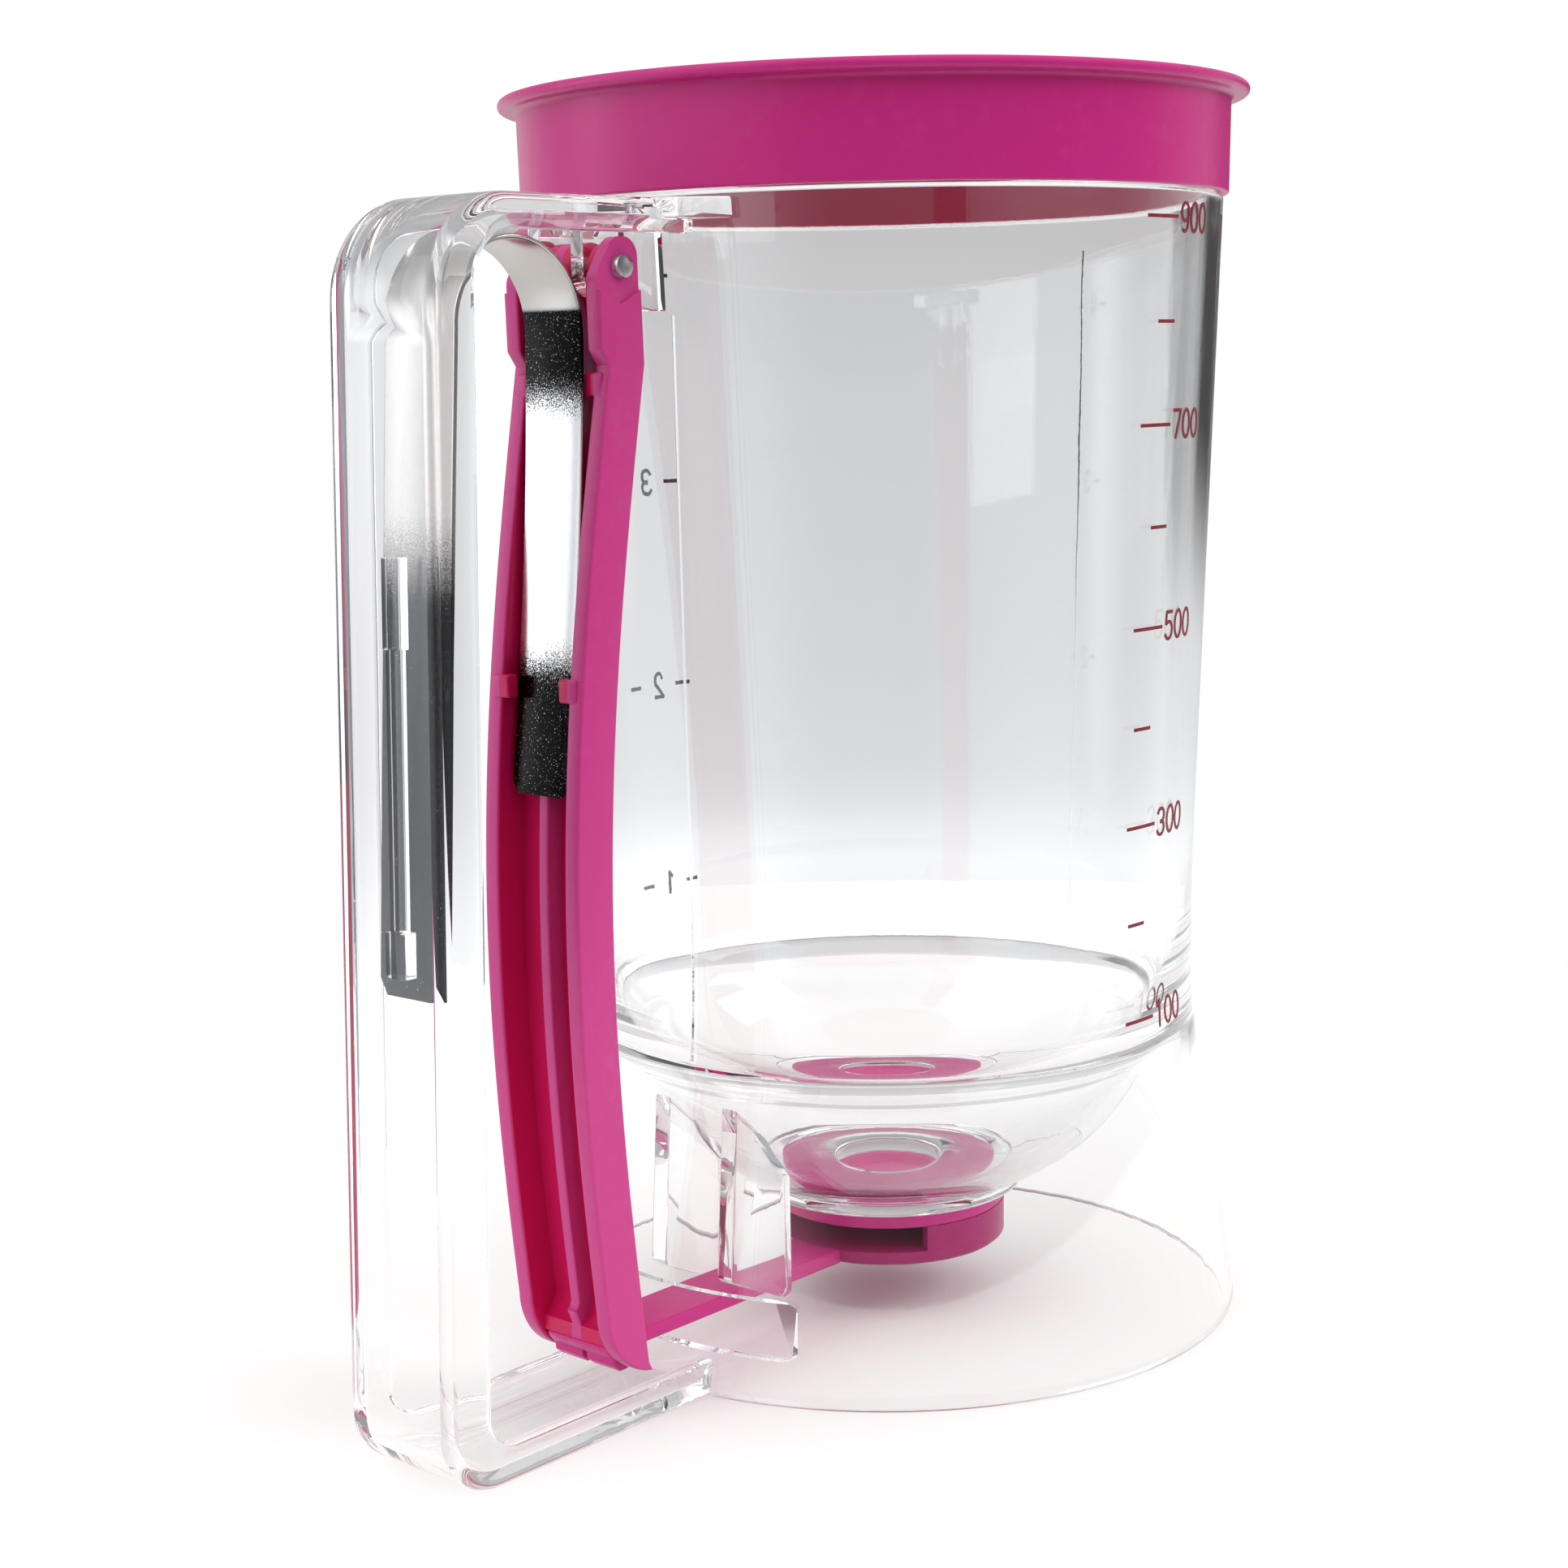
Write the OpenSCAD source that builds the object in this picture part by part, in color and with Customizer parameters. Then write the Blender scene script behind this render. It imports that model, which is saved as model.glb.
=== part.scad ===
// Batter dispenser: a clear measuring hopper on a flared stand, with a D handle.
// A sprung trigger lever swings a round valve away from the outlet under the funnel.

/* [Hopper] */
// Outer diameter of the hopper just below the lid
hopper_top_d = 104.6; // [96:0.2:112]
// Outer diameter that the straight taper would reach at the waist
taper_low_d = 93.8; // [86:0.2:98]
// How far the wall swells beyond the taper at the waist
waist_flare = 1.45; // [0.4:0.05:2]
// Height of the hopper wall from the waist to the step under the lid
hopper_h = 124.3; // [110:0.5:140]
// Wall thickness of the hopper
hopper_wall = 2; // [1.6:0.1:2.4]
// Height of the thin rim above the step
rim_h = 12.2; // [9:0.2:15]
// Thickness of the thin rim
rim_wall = 1.2; // [1:0.1:1.6]
// How far the rim is set back from the outside of the hopper
rim_step = 0.9; // [0.5:0.1:1.1]

/* [Funnel] */
// Diameter of the outlet hole
outlet_d = 17; // [12:0.5:20]
// Diameter of the flat boss around the outlet
boss_d = 42; // [39:0.5:46]
// Height of the underside of the boss above the table
boss_z = 17.8; // [17.4:0.1:19]
// Thickness of the floor of the boss
boss_t = 2.8; // [2.4:0.1:3.4]
// How far the boss stands below the bowl around it
boss_step = 1.8; // [1.2:0.1:2.2]
// Thickness of the bowl
bowl_wall = 2.2; // [1.8:0.1:2.6]

/* [Stand] */
// Height of the stand, from the table to the waist
stand_h = 45.5; // [43:0.5:50]
// Outer diameter of the stand at the table
stand_d = 109.6; // [104:0.2:112]
// Wall thickness of the stand
stand_wall = 1.8; // [1.6:0.1:2.2]
// Rounding of its lower edge
stand_edge_r = 1.5; // [1:0.1:1.5]
// Lower edge of the slot for the valve arm
slot_low_z = 6.6; // [6.2:0.1:7.2]
// Upper edge of the slot
slot_high_z = 14.8; // [13.5:0.1:16]
// Width of the slot
slot_w = 44; // [30:1:50]
// Thickness of the guide plates beside the valve arm
guide_t = 2.9; // [2:0.1:3.2]

/* [Handle] */
// Farthest reach of the handle from the hopper axis
handle_reach = 102.9; // [99:0.1:112]
// How far the grip leans in from foot to top
handle_lean = 5.6; // [3:0.2:7]
// Width of the handle
handle_w = 20.6; // [20:0.2:24]
// Wall thickness of the handle channel
handle_wall = 2.2; // [1.8:0.1:2.4]
// Depth of the channel in the grip
grip_depth = 7.6; // [6.5:0.1:8]
// Depth of the channel in the upper arm
top_arm_depth = 4.7; // [4.2:0.1:4.9]
// Depth of the channel in the foot arm
foot_arm_depth = 5.5; // [4.5:0.1:5.7]
// Outer corner radius at the top of the handle
top_corner_r = 14; // [10:0.5:16]
// Outer corner radius at the foot of the handle
foot_corner_r = 9; // [7:0.5:11]
// Thickness of the gusset between the upper arm and the hopper
collar_t = 2.8; // [2.4:0.1:3.2]
// Width of the gusset where it meets the hopper
collar_w = 34; // [26:1:40]

/* [Trigger] */
// Distance of the hinge pin from the outside of the hopper
pin_out = 11.1; // [10.6:0.1:11.6]
// Depth of the hinge pin below the step under the lid
pin_drop = 9.9; // [9.7:0.1:11]
// Diameter of the hinge pin
pin_d = 3.2; // [2.6:0.1:3.4]
// Running clearance of the pin in the bracket, on the radius
pin_gap = 0.06; // [0.03:0.01:0.1]
// Width of the lever
lever_w = 18.4; // [18:0.1:18.8]
// Thickness of the lever's two flanges
flange_t = 2.7; // [2.4:0.1:2.8]
// Depth of the lever's channel
lever_depth = 6.8; // [6:0.1:7.2]
// How far the lever bows out at mid height
lever_bow = 6.7; // [5:0.1:7.5]
// How much farther out the foot of the lever stands than its top
lever_lean = 4.6; // [4:0.1:5.2]
// Thickness of the lever's web
web_t = 2; // [1.6:0.1:2.4]

/* [Spring strip] */
// Width of the strip
strip_w = 11; // [8:0.5:11]
// Thickness of the strip
strip_t = 0.6; // [0.4:0.05:0.7]
// Length of the leg that follows the lever
lever_leg = 62.5; // [50:0.5:68]
// Length of the leg that lies in the handle
handle_leg = 86; // [80:1:95]

/* [Valve] */
// Diameter of the valve cup and its disc
valve_d = 36.8; // [32:0.2:37.4]
// Thickness of the sealing disc
disc_t = 2.4; // [2:0.1:2.6]
// Height of the open band of the cup
band_h = 3.8; // [3.2:0.1:4.2]
// Thickness of the plate at the bottom of the cup, and of the arm
arm_t = 2.2; // [2:0.1:2.4]
// Width of the valve arm
arm_w = 9.4; // [8.5:0.1:9.6]

/* [Lid] */
// Play between the rim and the lid skirt, on the radius
lid_play = 0.3; // [0.2:0.05:0.6]
// Wall thickness of the lid skirt
lid_wall = 1.4; // [1.2:0.1:1.6]
// How far the flange stands out beyond the skirt
lid_flange_w = 3; // [2:0.1:5]
// Space between the rim and the lid
lid_headroom = 2.3; // [1:0.1:4]
// Thickness of the lid top
lid_top_t = 1.7; // [1.4:0.1:2.2]

/* [Printed scales] */
// Height of the 100 ml mark above the waist
ml_first = 5.1; // [4:0.1:8]
// Spacing of the marks for each 100 ml
ml_step = 14.41; // [12:0.01:15]
// Height of the one cup mark above the waist
cup_first = 14.8; // [10:0.1:18]
// Spacing of the cup marks
cup_step = 33.7; // [28:0.1:34]
// Stroke of a printed mark
mark_h = 0.5; // [0.3:0.05:0.8]

/* [Hidden] */
$fn = 180;

clear_tint = [0.86, 0.89, 0.9, 0.35];
hot_pink = [0.79, 0.17, 0.5];
steel_tint = [0.72, 0.72, 0.7];
ml_red = [0.72, 0.08, 0.12];
cups_black = [0.1, 0.1, 0.11];
eps = 0.01;

// Hopper and stand: the wall is a straight taper that swells towards the waist.
waist_z = stand_h;
shoulder_z = waist_z + hopper_h;
hopper_top_r = hopper_top_d / 2;
taper_low_r = taper_low_d / 2;
waist_r = taper_low_r + waist_flare;
swell_top_z = waist_z + 0.24 * hopper_h;
lip_h = hopper_wall;
inner_low_z = waist_z + 3 * lip_h;
rim_r = hopper_top_r - rim_step;
rim_top_z = shoulder_z + rim_h;
rim_edge_r = 0.4 * rim_wall;
stand_r = stand_d / 2;
stand_curve = 0.9;

// Bowl: an ellipse about the axis, from just inside the waist down to the boss
boss_r = boss_d / 2;
outlet_r = outlet_d / 2;
bowl_lip = hopper_wall / 4;
bowl_top_z = waist_z - bowl_lip;
bowl_out_r = taper_low_r - 2.6 * bowl_wall;
bowl_out_b = (bowl_top_z - boss_z - boss_step) / sqrt(1 - pow(boss_r / bowl_out_r, 2));
bowl_in_r = bowl_out_r - bowl_wall;
bowl_in_b = bowl_out_b - bowl_wall;

// Valve stack, from the disc under the boss down to the plate
seal_gap = 0.2;
valve_r = valve_d / 2;
disc_top_z = boss_z - seal_gap;
band_top_z = disc_top_z - disc_t;
plate_top_z = band_top_z - band_h;
plate_low_z = plate_top_z - arm_t;
band_t = arm_t;
band_open = 58;
post_r = 5;
dish_h = disc_t / 2;

// Guide plates: the arm runs between them and the valve stops against their inner ends.
valve_travel = 14.1;
guide_in = arm_w / 2 + 0.4;
guide_near_x = valve_r + valve_travel;
guide_top_x = bowl_out_r + 1.8;
guide_low_x = guide_top_x + 2.6;
guide_far_z = slot_high_z - 0.4;
guide_near_z = plate_low_z - 0.9;
guide_round = guide_t / 2;

// Handle outline corners; each layer of the channel follows the same leaning line.
handle_top_z = shoulder_z - 0.8;
lean_angle = atan(handle_lean / handle_top_z);
foot_corner_x = handle_reach + foot_corner_r * (1 / tan((90 - lean_angle) / 2) - 1);
handle_root_x = waist_r - 3 * hopper_wall;
arm_root_x = hopper_top_r + 4.7;
arm_roof_z = handle_top_z - handle_wall;
grip_low_z = foot_arm_depth + foot_corner_r;
grip_high_z = handle_top_z - top_corner_r - top_arm_depth;
pocket_top_r = top_corner_r / 2;
pocket_foot_r = foot_corner_r / 2;

// Hinge: two lugs on the hopper between the ears of the lever, and a barrel between the lugs
pin_r = pin_d / 2;
pin_x = hopper_top_r + pin_out;
pin_z = shoulder_z - pin_drop;
pin_proud = 0.4;
side_gap = 0.25;
lug_in = 2.9;
lug_t = 2.3;
lug_r = 3.6;
lug_low_z = pin_z - 5.8;
lug_root_x = hopper_top_r - 3 * hopper_wall;
barrel_r = 3.3;
ear_back = 3.3;
ear_top_z = pin_z + 3.9;
lobe_out = 4.7;

// Lever: its line leans, and bows towards the grip
lever_low_z = plate_low_z - 2.3;
lever_high_z = pin_z - 12.9;
lever_top_x = pin_x - 3.7;
lever_half = lever_w / 2;
channel_half = lever_half - flange_t;
foot_r = 1.47 * lever_depth;
foot_turn_z = lever_low_z + foot_r;
floor_t = 0.9 * web_t;
floor_turn_r = 1.9 * web_t;
floor_turn_z = plate_top_z + floor_t + floor_turn_r;
floor_sweep = 68;
web_top_z = pin_z - 2.4 * barrel_r;
lever_rib_w = 1.8;
lever_rib_h = 2.5;
lever_rib_low = 20;

// Spring strip: lever leg, arch under the roof of the upper arm, handle leg
bar_t = 1.8;
strip_lever_x = pin_x + 4.3;
strip_handle_x = grip_x(pin_z) - handle_wall - 4.6;
arch_r = (strip_handle_x - strip_lever_x) / 2;
arch_x = strip_lever_x + arch_r;
arch_z = arm_roof_z - arch_r - 3.1;
strip_low_z = arch_z - lever_leg;
strip_foot_z = arch_z - handle_leg;
strip_low_x = lever_x(strip_low_z) + web_t + lever_rib_h + strip_t / 2 + side_gap;
strip_foot_x = grip_x(strip_foot_z) - handle_wall - bar_t - strip_t / 2 - side_gap / 2;
strip_curl = 1.6;
bar_low_z = strip_foot_z + 5;
bar_high_z = bar_low_z + 53;
nub_h = 3.2;
nub_t = 2;
nub_gap = 0.15;
nub_reach = 1.6;

// Valve arm head and barbs, under the floor of the lever
head_x = lever_x(plate_low_z) + 0.5;
head_tip = 5.3;
head_half = channel_half - 0.5;
barb_h = 2.1;
barb_gap = 0.4;

// Lid
lid_seat = 0.4;
lid_flare = 0.3;
lid_skirt_r = rim_r + lid_play + lid_wall;
lid_flange_r = lid_skirt_r + lid_flange_w;
lid_under_z = rim_top_z + lid_headroom;
lid_top_z = lid_under_z + lid_top_t;
lid_edge_r = lid_top_t / 2;

// Printed marks, as angles from the handle
mark_t = 0.18;
ink_lift = 0.01;
long_from = 86;
long_to = 94;
short_turn = 4.3;

// The origin is the middle of the footprint box, so the hopper axis stands off it.
axis_x = (handle_reach - lid_flange_r) / 2;

function steps(low, high, n) = [for (i = [0:n]) low + (high - low) * i / n];
function reversed(list) = [for (i = [len(list) - 1:-1:0]) list[i]];
function unit(v) = v / norm(v);
function turn_between(a, b) = ((b - a) % 360 + 540) % 360 - 180;
function at_angle(centre, r, a) = centre + r * [cos(a), sin(a)];

// Points of the arc that rounds corner b between a and c
function corner_arc(a, b, c, r, n) =
    let(u = unit(a - b), v = unit(c - b), half = acos(u * v) / 2,
        centre = b + unit(u + v) * r / sin(half),
        p = b + u * r / tan(half) - centre,
        q = b + v * r / tan(half) - centre,
        from = atan2(p.y, p.x), turn = turn_between(from, atan2(q.y, q.x)))
    [for (i = [0:n]) at_angle(centre, r, from + turn * i / n)];

// Closed outline from [x, z, radius] corners
function rounded(c, n = 10) = [for (i = [0:len(c) - 1])
    let(b = [c[i].x, c[i].y], a = c[(i + len(c) - 1) % len(c)], d = c[(i + 1) % len(c)])
    each (c[i][2] == 0 ? [b] : corner_arc([a.x, a.y], b, [d.x, d.y], c[i][2], n))];

// Wall of the hopper
function taper_r(z) = taper_low_r + (hopper_top_r - taper_low_r) * (z - waist_z) / hopper_h;
function swell(z) = waist_flare * pow((swell_top_z - z) / (swell_top_z - waist_z), 2);
hopper_knots = concat([for (z = steps(waist_z, swell_top_z, 8)) [z, taper_r(z) + swell(z)]],
    [[shoulder_z, hopper_top_r]]);
function hopper_r(z) = lookup(z, hopper_knots);
function hopper_line() = [for (k = hopper_knots) [k.y, k.x]];

// The stand flares a little faster towards the table.
function stand_out_r(z) = stand_r - (stand_r - waist_r) * pow(z / waist_z, stand_curve);
function stand_line() = concat([for (z = steps(waist_z, 2 * stand_edge_r, 12)) [stand_out_r(z), z]],
    corner_arc([stand_out_r(2 * stand_edge_r), 2 * stand_edge_r], [stand_r, 0], [0, 0], stand_edge_r, 5));

function bowl_point(a, b, t) = [a * cos(t), bowl_top_z - b * sin(t)];
function bowl_line(a, b, from, to, n = 14) = [for (t = steps(from, to, n)) bowl_point(a, b, t)];

// Outer face of the grip, and the body side of the lever, as distances from the axis
function grip_x(z) = foot_corner_x - handle_lean * z / handle_top_z;
function lever_t(z) = (z - lever_low_z) / (lever_high_z - lever_low_z);
function lever_x(z) = lever_top_x + lever_lean * (1 - lever_t(z))
    + lever_bow * sin(180 * min(1, max(0, lever_t(z))));

// Everything below is drawn about the hopper axis, with the handle towards -X.
module on_axis() translate([axis_x, 0, 0]) children();

// A side outline [x, z] made solid between two values of y
module side_slab(y_low, y_high) {
    translate([0, y_high, 0])
        rotate([90, 0, 0])
            linear_extrude(y_high - y_low) children();
}

module both_sides(inner, outer) {
    side_slab(inner, outer) children();
    side_slab(-outer, -inner) children();
}

module hopper_core() {
    rotate_extrude() polygon(concat([[0, shoulder_z], [0, waist_z]], hopper_line()));
}

module hopper() {
    color(clear_tint) on_axis() rotate_extrude() polygon(concat(hopper_line(),
        [[hopper_top_r - hopper_wall, shoulder_z], [taper_r(inner_low_z) - hopper_wall, inner_low_z],
        [taper_low_r - 2 * bowl_wall, waist_z + lip_h], [bowl_in_r, bowl_top_z],
        [bowl_out_r, bowl_top_z], [bowl_out_r + bowl_lip, waist_z]]));
}

module hopper_rim() {
    outer = [rim_r, rim_top_z];
    inner = [rim_r - rim_wall, rim_top_z];
    foot_out = [rim_r, shoulder_z];
    foot_in = [rim_r - rim_wall, shoulder_z];
    color(clear_tint) on_axis() rotate_extrude() polygon(concat([foot_in, foot_out],
        corner_arc(foot_out, outer, inner, rim_edge_r, 4),
        corner_arc(outer, inner, foot_in, rim_edge_r, 4)));
}

module funnel() {
    out_end = acos(boss_r / bowl_out_r);
    in_end = acos(boss_r / bowl_in_r);
    color(clear_tint) on_axis() rotate_extrude() polygon(concat(
        bowl_line(bowl_out_r, bowl_out_b, 0, out_end), bowl_line(bowl_in_r, bowl_in_b, in_end, 0)));
}

// Thick floor of the bowl, with a flat underside around the outlet
module outlet_boss() {
    floor_z = boss_z + boss_t;
    from = asin((bowl_top_z - floor_z) / bowl_in_b);
    color(clear_tint) on_axis() rotate_extrude() polygon(concat(
        [[boss_r, boss_z], [outlet_r, boss_z], [outlet_r, floor_z]],
        bowl_line(bowl_in_r, bowl_in_b, from, acos(boss_r / bowl_in_r), 5)));
}

module stand_core() {
    rotate_extrude() polygon(concat([[0, 0], [0, waist_z]], stand_line()));
}

module stand() {
    color(clear_tint) on_axis() difference() {
        rotate_extrude() polygon(concat(stand_line(),
            [for (z = steps(0, waist_z, 12)) [stand_out_r(z) - stand_wall, z]]));
        translate([-stand_r - 1, -slot_w / 2, slot_low_z])
            cube([stand_r / 2, slot_w, slot_high_z - slot_low_z]);
    }
}

// One upright plate beside the valve arm, hung under the bowl
module guide_plate(inner) {
    difference() {
        side_slab(inner, inner + guide_t) polygon(rounded([[-guide_top_x, waist_z, 0],
            [-guide_low_x, guide_far_z, guide_round], [-guide_near_x, guide_near_z, guide_round],
            [-guide_near_x, waist_z, 0]], 6));
        rotate_extrude() polygon(concat([[0, stand_r], [0, boss_z]],
            bowl_line(bowl_out_r, bowl_out_b, acos(boss_r / bowl_out_r), 0),
            [[bowl_out_r + bowl_lip, waist_z], [stand_r, waist_z], [stand_r, stand_r]]));
    }
}

module guide_plate_left() {
    color(clear_tint) on_axis() guide_plate(guide_in);
}

module guide_plate_right() {
    color(clear_tint) on_axis() guide_plate(-guide_in - guide_t);
}

// Flat gusset that spreads the handle's upper arm around the hopper
module rim_collar() {
    half = handle_w / 2;
    spread = collar_w / 2;
    spread_x = hopper_top_r - 3.8;
    recess = collar_t - handle_wall;
    color(clear_tint) on_axis() difference() {
        translate([0, 0, handle_top_z - collar_t]) linear_extrude(collar_t)
            polygon([[-arm_root_x, half], [-spread_x, spread], [-lug_root_x, spread],
                [-lug_root_x, -spread], [-spread_x, -spread], [-arm_root_x, -half]]);
        hopper_core();
        translate([-arm_root_x - 1, handle_wall - half, handle_top_z - collar_t - 1])
            cube([arm_root_x - lug_root_x, handle_w - 2 * handle_wall, recess + 1]);
    }
}

// Two lugs under the upper arm that carry the hinge pin
module hinge_bracket() {
    nose_x = pin_x + lug_r;
    color(clear_tint) on_axis() difference() {
        both_sides(lug_in, lug_in + lug_t) difference() {
            polygon(rounded([[-lug_root_x, lug_low_z, 0], [-pin_x + 2.6 * lug_r, lug_low_z, lug_r],
                [-nose_x, pin_z - lug_r, lug_r - eps], [-nose_x, arm_roof_z, 0],
                [-lug_root_x, arm_roof_z, 0]], 12));
            translate([-pin_x, pin_z]) circle(r = pin_r + pin_gap);
        }
        hopper_core();
    }
}

// Outline of the D handle at one depth inside its outer face
module handle_layer(grip_in, top_in, foot_in, top_r, foot_r) {
    top = handle_top_z - top_in;
    polygon(rounded([[-handle_root_x, top, 0], [grip_in - grip_x(top), top, top_r],
        [grip_in - grip_x(foot_in), foot_in, foot_r], [-handle_root_x, foot_in, 0]], 12));
}

// The channel section of the handle between two heights: back wall and two side walls
module handle_part(z_low, z_high) {
    half = handle_w / 2;
    w = handle_wall;
    module band() translate([-handle_reach - w, z_low]) square([handle_reach, z_high - z_low]);
    side_slab(-half, half) intersection() {
        difference() {
            handle_layer(0, 0, 0, top_corner_r, foot_corner_r);
            handle_layer(w, w, w, top_corner_r - w, foot_corner_r - w);
        }
        band();
    }
    both_sides(half - w, half) intersection() {
        difference() {
            handle_layer(0, 0, 0, top_corner_r, foot_corner_r);
            handle_layer(grip_depth, top_arm_depth, foot_arm_depth, pocket_top_r, pocket_foot_r);
        }
        band();
    }
}

module handle_top_arm() {
    color(clear_tint) on_axis() difference() {
        handle_part(grip_high_z, handle_top_z + 1);
        // The gusset takes over where the arm meets the hopper.
        translate([-arm_root_x, -handle_w, grip_high_z]) cube([arm_root_x, 2 * handle_w, hopper_h]);
    }
}

module handle_grip() {
    color(clear_tint) on_axis() handle_part(grip_low_z, grip_high_z);
}

module handle_foot_arm() {
    color(clear_tint) on_axis() difference() {
        handle_part(-1, grip_low_z);
        stand_core();
    }
}

// A bar on the inside of the grip between two heights
module bar_piece(z_low, z_high, width) {
    low_x = handle_wall - grip_x(z_low);
    high_x = handle_wall - grip_x(z_high);
    side_slab(-width / 2, width / 2) polygon([[low_x, z_low], [low_x + bar_t, z_low],
        [high_x + bar_t, z_high], [high_x, z_high]]);
}

// The strip's handle leg lies on this bar, which is wider at its ends.
module spring_rib() {
    color(clear_tint) on_axis() {
        bar_piece(bar_low_z, bar_high_z, bar_t);
        bar_piece(bar_low_z, bar_low_z + 3.3 * bar_t, 2.1 * bar_t);
        bar_piece(bar_high_z - 6.6 * bar_t, bar_high_z, 1.6 * bar_t);
    }
}

// Centre line of the strip: lever leg for s from 0 to 1, arch to 2, handle leg to 3
function strip_point(s) =
    s < 1 ? [-strip_lever_x - (strip_low_x - strip_lever_x) * pow(1 - s, strip_curl),
        strip_low_z + lever_leg * s] :
    s < 2 ? at_angle([-arch_x, arch_z], arch_r, 180 * (s - 1)) :
    [-strip_handle_x - (strip_foot_x - strip_handle_x) * (s - 2), arch_z - handle_leg * (s - 2)];
function strip_normal(s) =
    let(d = strip_point(min(3, s + eps)) - strip_point(max(0, s - eps))) unit([-d.y, d.x]);
function strip_side(s_list, off) = [for (s = s_list) strip_point(s) + strip_normal(s) * off];
function strip_at(z) = strip_point((z - strip_low_z) / lever_leg).x;

module leaf_spring() {
    s_list = steps(0, 3, 60);
    color(steel_tint) on_axis() side_slab(-strip_w / 2, strip_w / 2)
        polygon(concat(strip_side(s_list, strip_t / 2), strip_side(reversed(s_list), -strip_t / 2)));
}

// A printed mark lying on the hopper wall, from one angle to another off the handle
module wall_mark(z, from, to) {
    low = z - mark_h / 2;
    high = z + mark_h / 2;
    in_low = hopper_r(low) + ink_lift;
    in_high = hopper_r(high) + ink_lift;
    rotate([0, 0, 180 + from]) rotate_extrude(angle = to - from)
        polygon([[in_low, low], [in_low + mark_t, low], [in_high + mark_t, high], [in_high, high]]);
}

// Every other mark is short; the upper short ones end level with the long ones.
module scale_ml() {
    color(ml_red) on_axis() for (i = [0:8]) {
        long = i % 2 == 0;
        from = long ? long_from : i > 4 ? long_to - short_turn : long_from + 1;
        wall_mark(waist_z + ml_first + ml_step * i, from, long ? long_to : from + short_turn);
    }
}

// Each cup mark is a dash on either side of its number.
module scale_cups() {
    color(cups_black) on_axis() for (i = [0:3]) {
        wall_mark(waist_z + cup_first + cup_step * i, -97, -94);
        wall_mark(waist_z + cup_first + cup_step * i, -83, -80);
    }
}

// Side outline of a lever flange: bowed strip, round foot, ear around the pin
module lever_outline() {
    body_side = [for (z = steps(lever_low_z + web_t, lever_high_z, 32)) [-lever_x(z), z]];
    grip_side = [for (z = steps(lever_high_z, foot_turn_z, 32)) [-lever_x(z) - lever_depth, z]];
    back_top = [ear_back - pin_x, ear_top_z];
    front_top = [-pin_x - 1.2, ear_top_z];
    lobe = [-pin_x - lobe_out, pin_z - 1.4];
    neck = [-pin_x - lobe_out + 0.2, lever_high_z + web_t];
    foot_x = -lever_x(foot_turn_z) - lever_depth + foot_r;
    foot_end = acos((lever_x(lever_low_z) + foot_x) / foot_r);
    polygon(concat(body_side,
        corner_arc(body_side[len(body_side) - 1], back_top, front_top, 2.6, 8),
        corner_arc(back_top, front_top, lobe, 3, 8), corner_arc(front_top, lobe, neck, 3, 6),
        [neck], grip_side,
        [for (a = steps(180, 180 + foot_end, 12)) at_angle([foot_x, foot_turn_z], foot_r, a)]));
}

// Grip side of the lever web from a height down, turning into the floor at the foot
function web_face(z_high, lift) =
    let(centre = [-lever_x(floor_turn_z) - web_t - floor_turn_r, floor_turn_z])
    concat([for (z = steps(z_high, floor_turn_z, 32)) [-lever_x(z) - web_t - lift, z]],
        [for (a = steps(0, -floor_sweep, 6)) at_angle(centre, floor_turn_r - lift, a)]);

module lever_web() {
    face = web_face(web_top_z, 0);
    polygon(concat(face, [[face[len(face) - 1].x, plate_top_z], [-lever_x(plate_top_z), plate_top_z]],
        [for (z = steps(plate_top_z + 1, web_top_z, 32)) [-lever_x(z), z]]));
}

module lever() {
    boss_in = lug_in + lug_t + side_gap;
    barrel_half = lug_in - side_gap;
    color(hot_pink) on_axis() difference() {
        union() {
            both_sides(channel_half, lever_half) lever_outline();
            side_slab(-channel_half, channel_half) lever_web();
            // Bosses on the ears, and the barrel between the two lugs
            both_sides(boss_in, channel_half) translate([-pin_x, pin_z]) circle(r = ear_back - side_gap);
            side_slab(-barrel_half, barrel_half) {
                translate([-pin_x, pin_z]) circle(r = barrel_r);
                polygon([[-lever_x(web_top_z) - 0.7, web_top_z - 1], [-pin_x + barrel_r - 0.4, pin_z],
                    [-pin_x - 1, pin_z], [-lever_x(web_top_z) - web_t, web_top_z - 1]]);
            }
            // Nubs that the strip threads between: two behind it, two in front of it
            both_sides(channel_half - nub_reach, channel_half) {
                back_z = arch_z - 9;
                translate([strip_at(back_z) + strip_t / 2 + nub_gap, back_z]) square([nub_t, nub_h]);
                front_z = strip_low_z + 13;
                translate([strip_at(front_z) - strip_t / 2 - nub_gap - nub_t, front_z])
                    square([nub_t, nub_h]);
            }
        }
        side_slab(-lever_half - 1, lever_half + 1) translate([-pin_x, pin_z]) circle(r = pin_r);
    }
}

// Ridge along the lever channel that the end of the strip bears on
module lever_rib() {
    top_z = strip_low_z + 1;
    color(hot_pink) on_axis() side_slab(-lever_rib_w / 2, lever_rib_w / 2)
        polygon(concat(web_face(top_z, 0), reversed(web_face(top_z, lever_rib_h))));
}

module hinge_pin() {
    pin_l = lever_w + 2 * pin_proud;
    color(steel_tint) on_axis() translate([-pin_x, pin_l / 2, pin_z])
        rotate([90, 0, 0]) cylinder(h = pin_l, r = pin_r);
}

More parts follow.
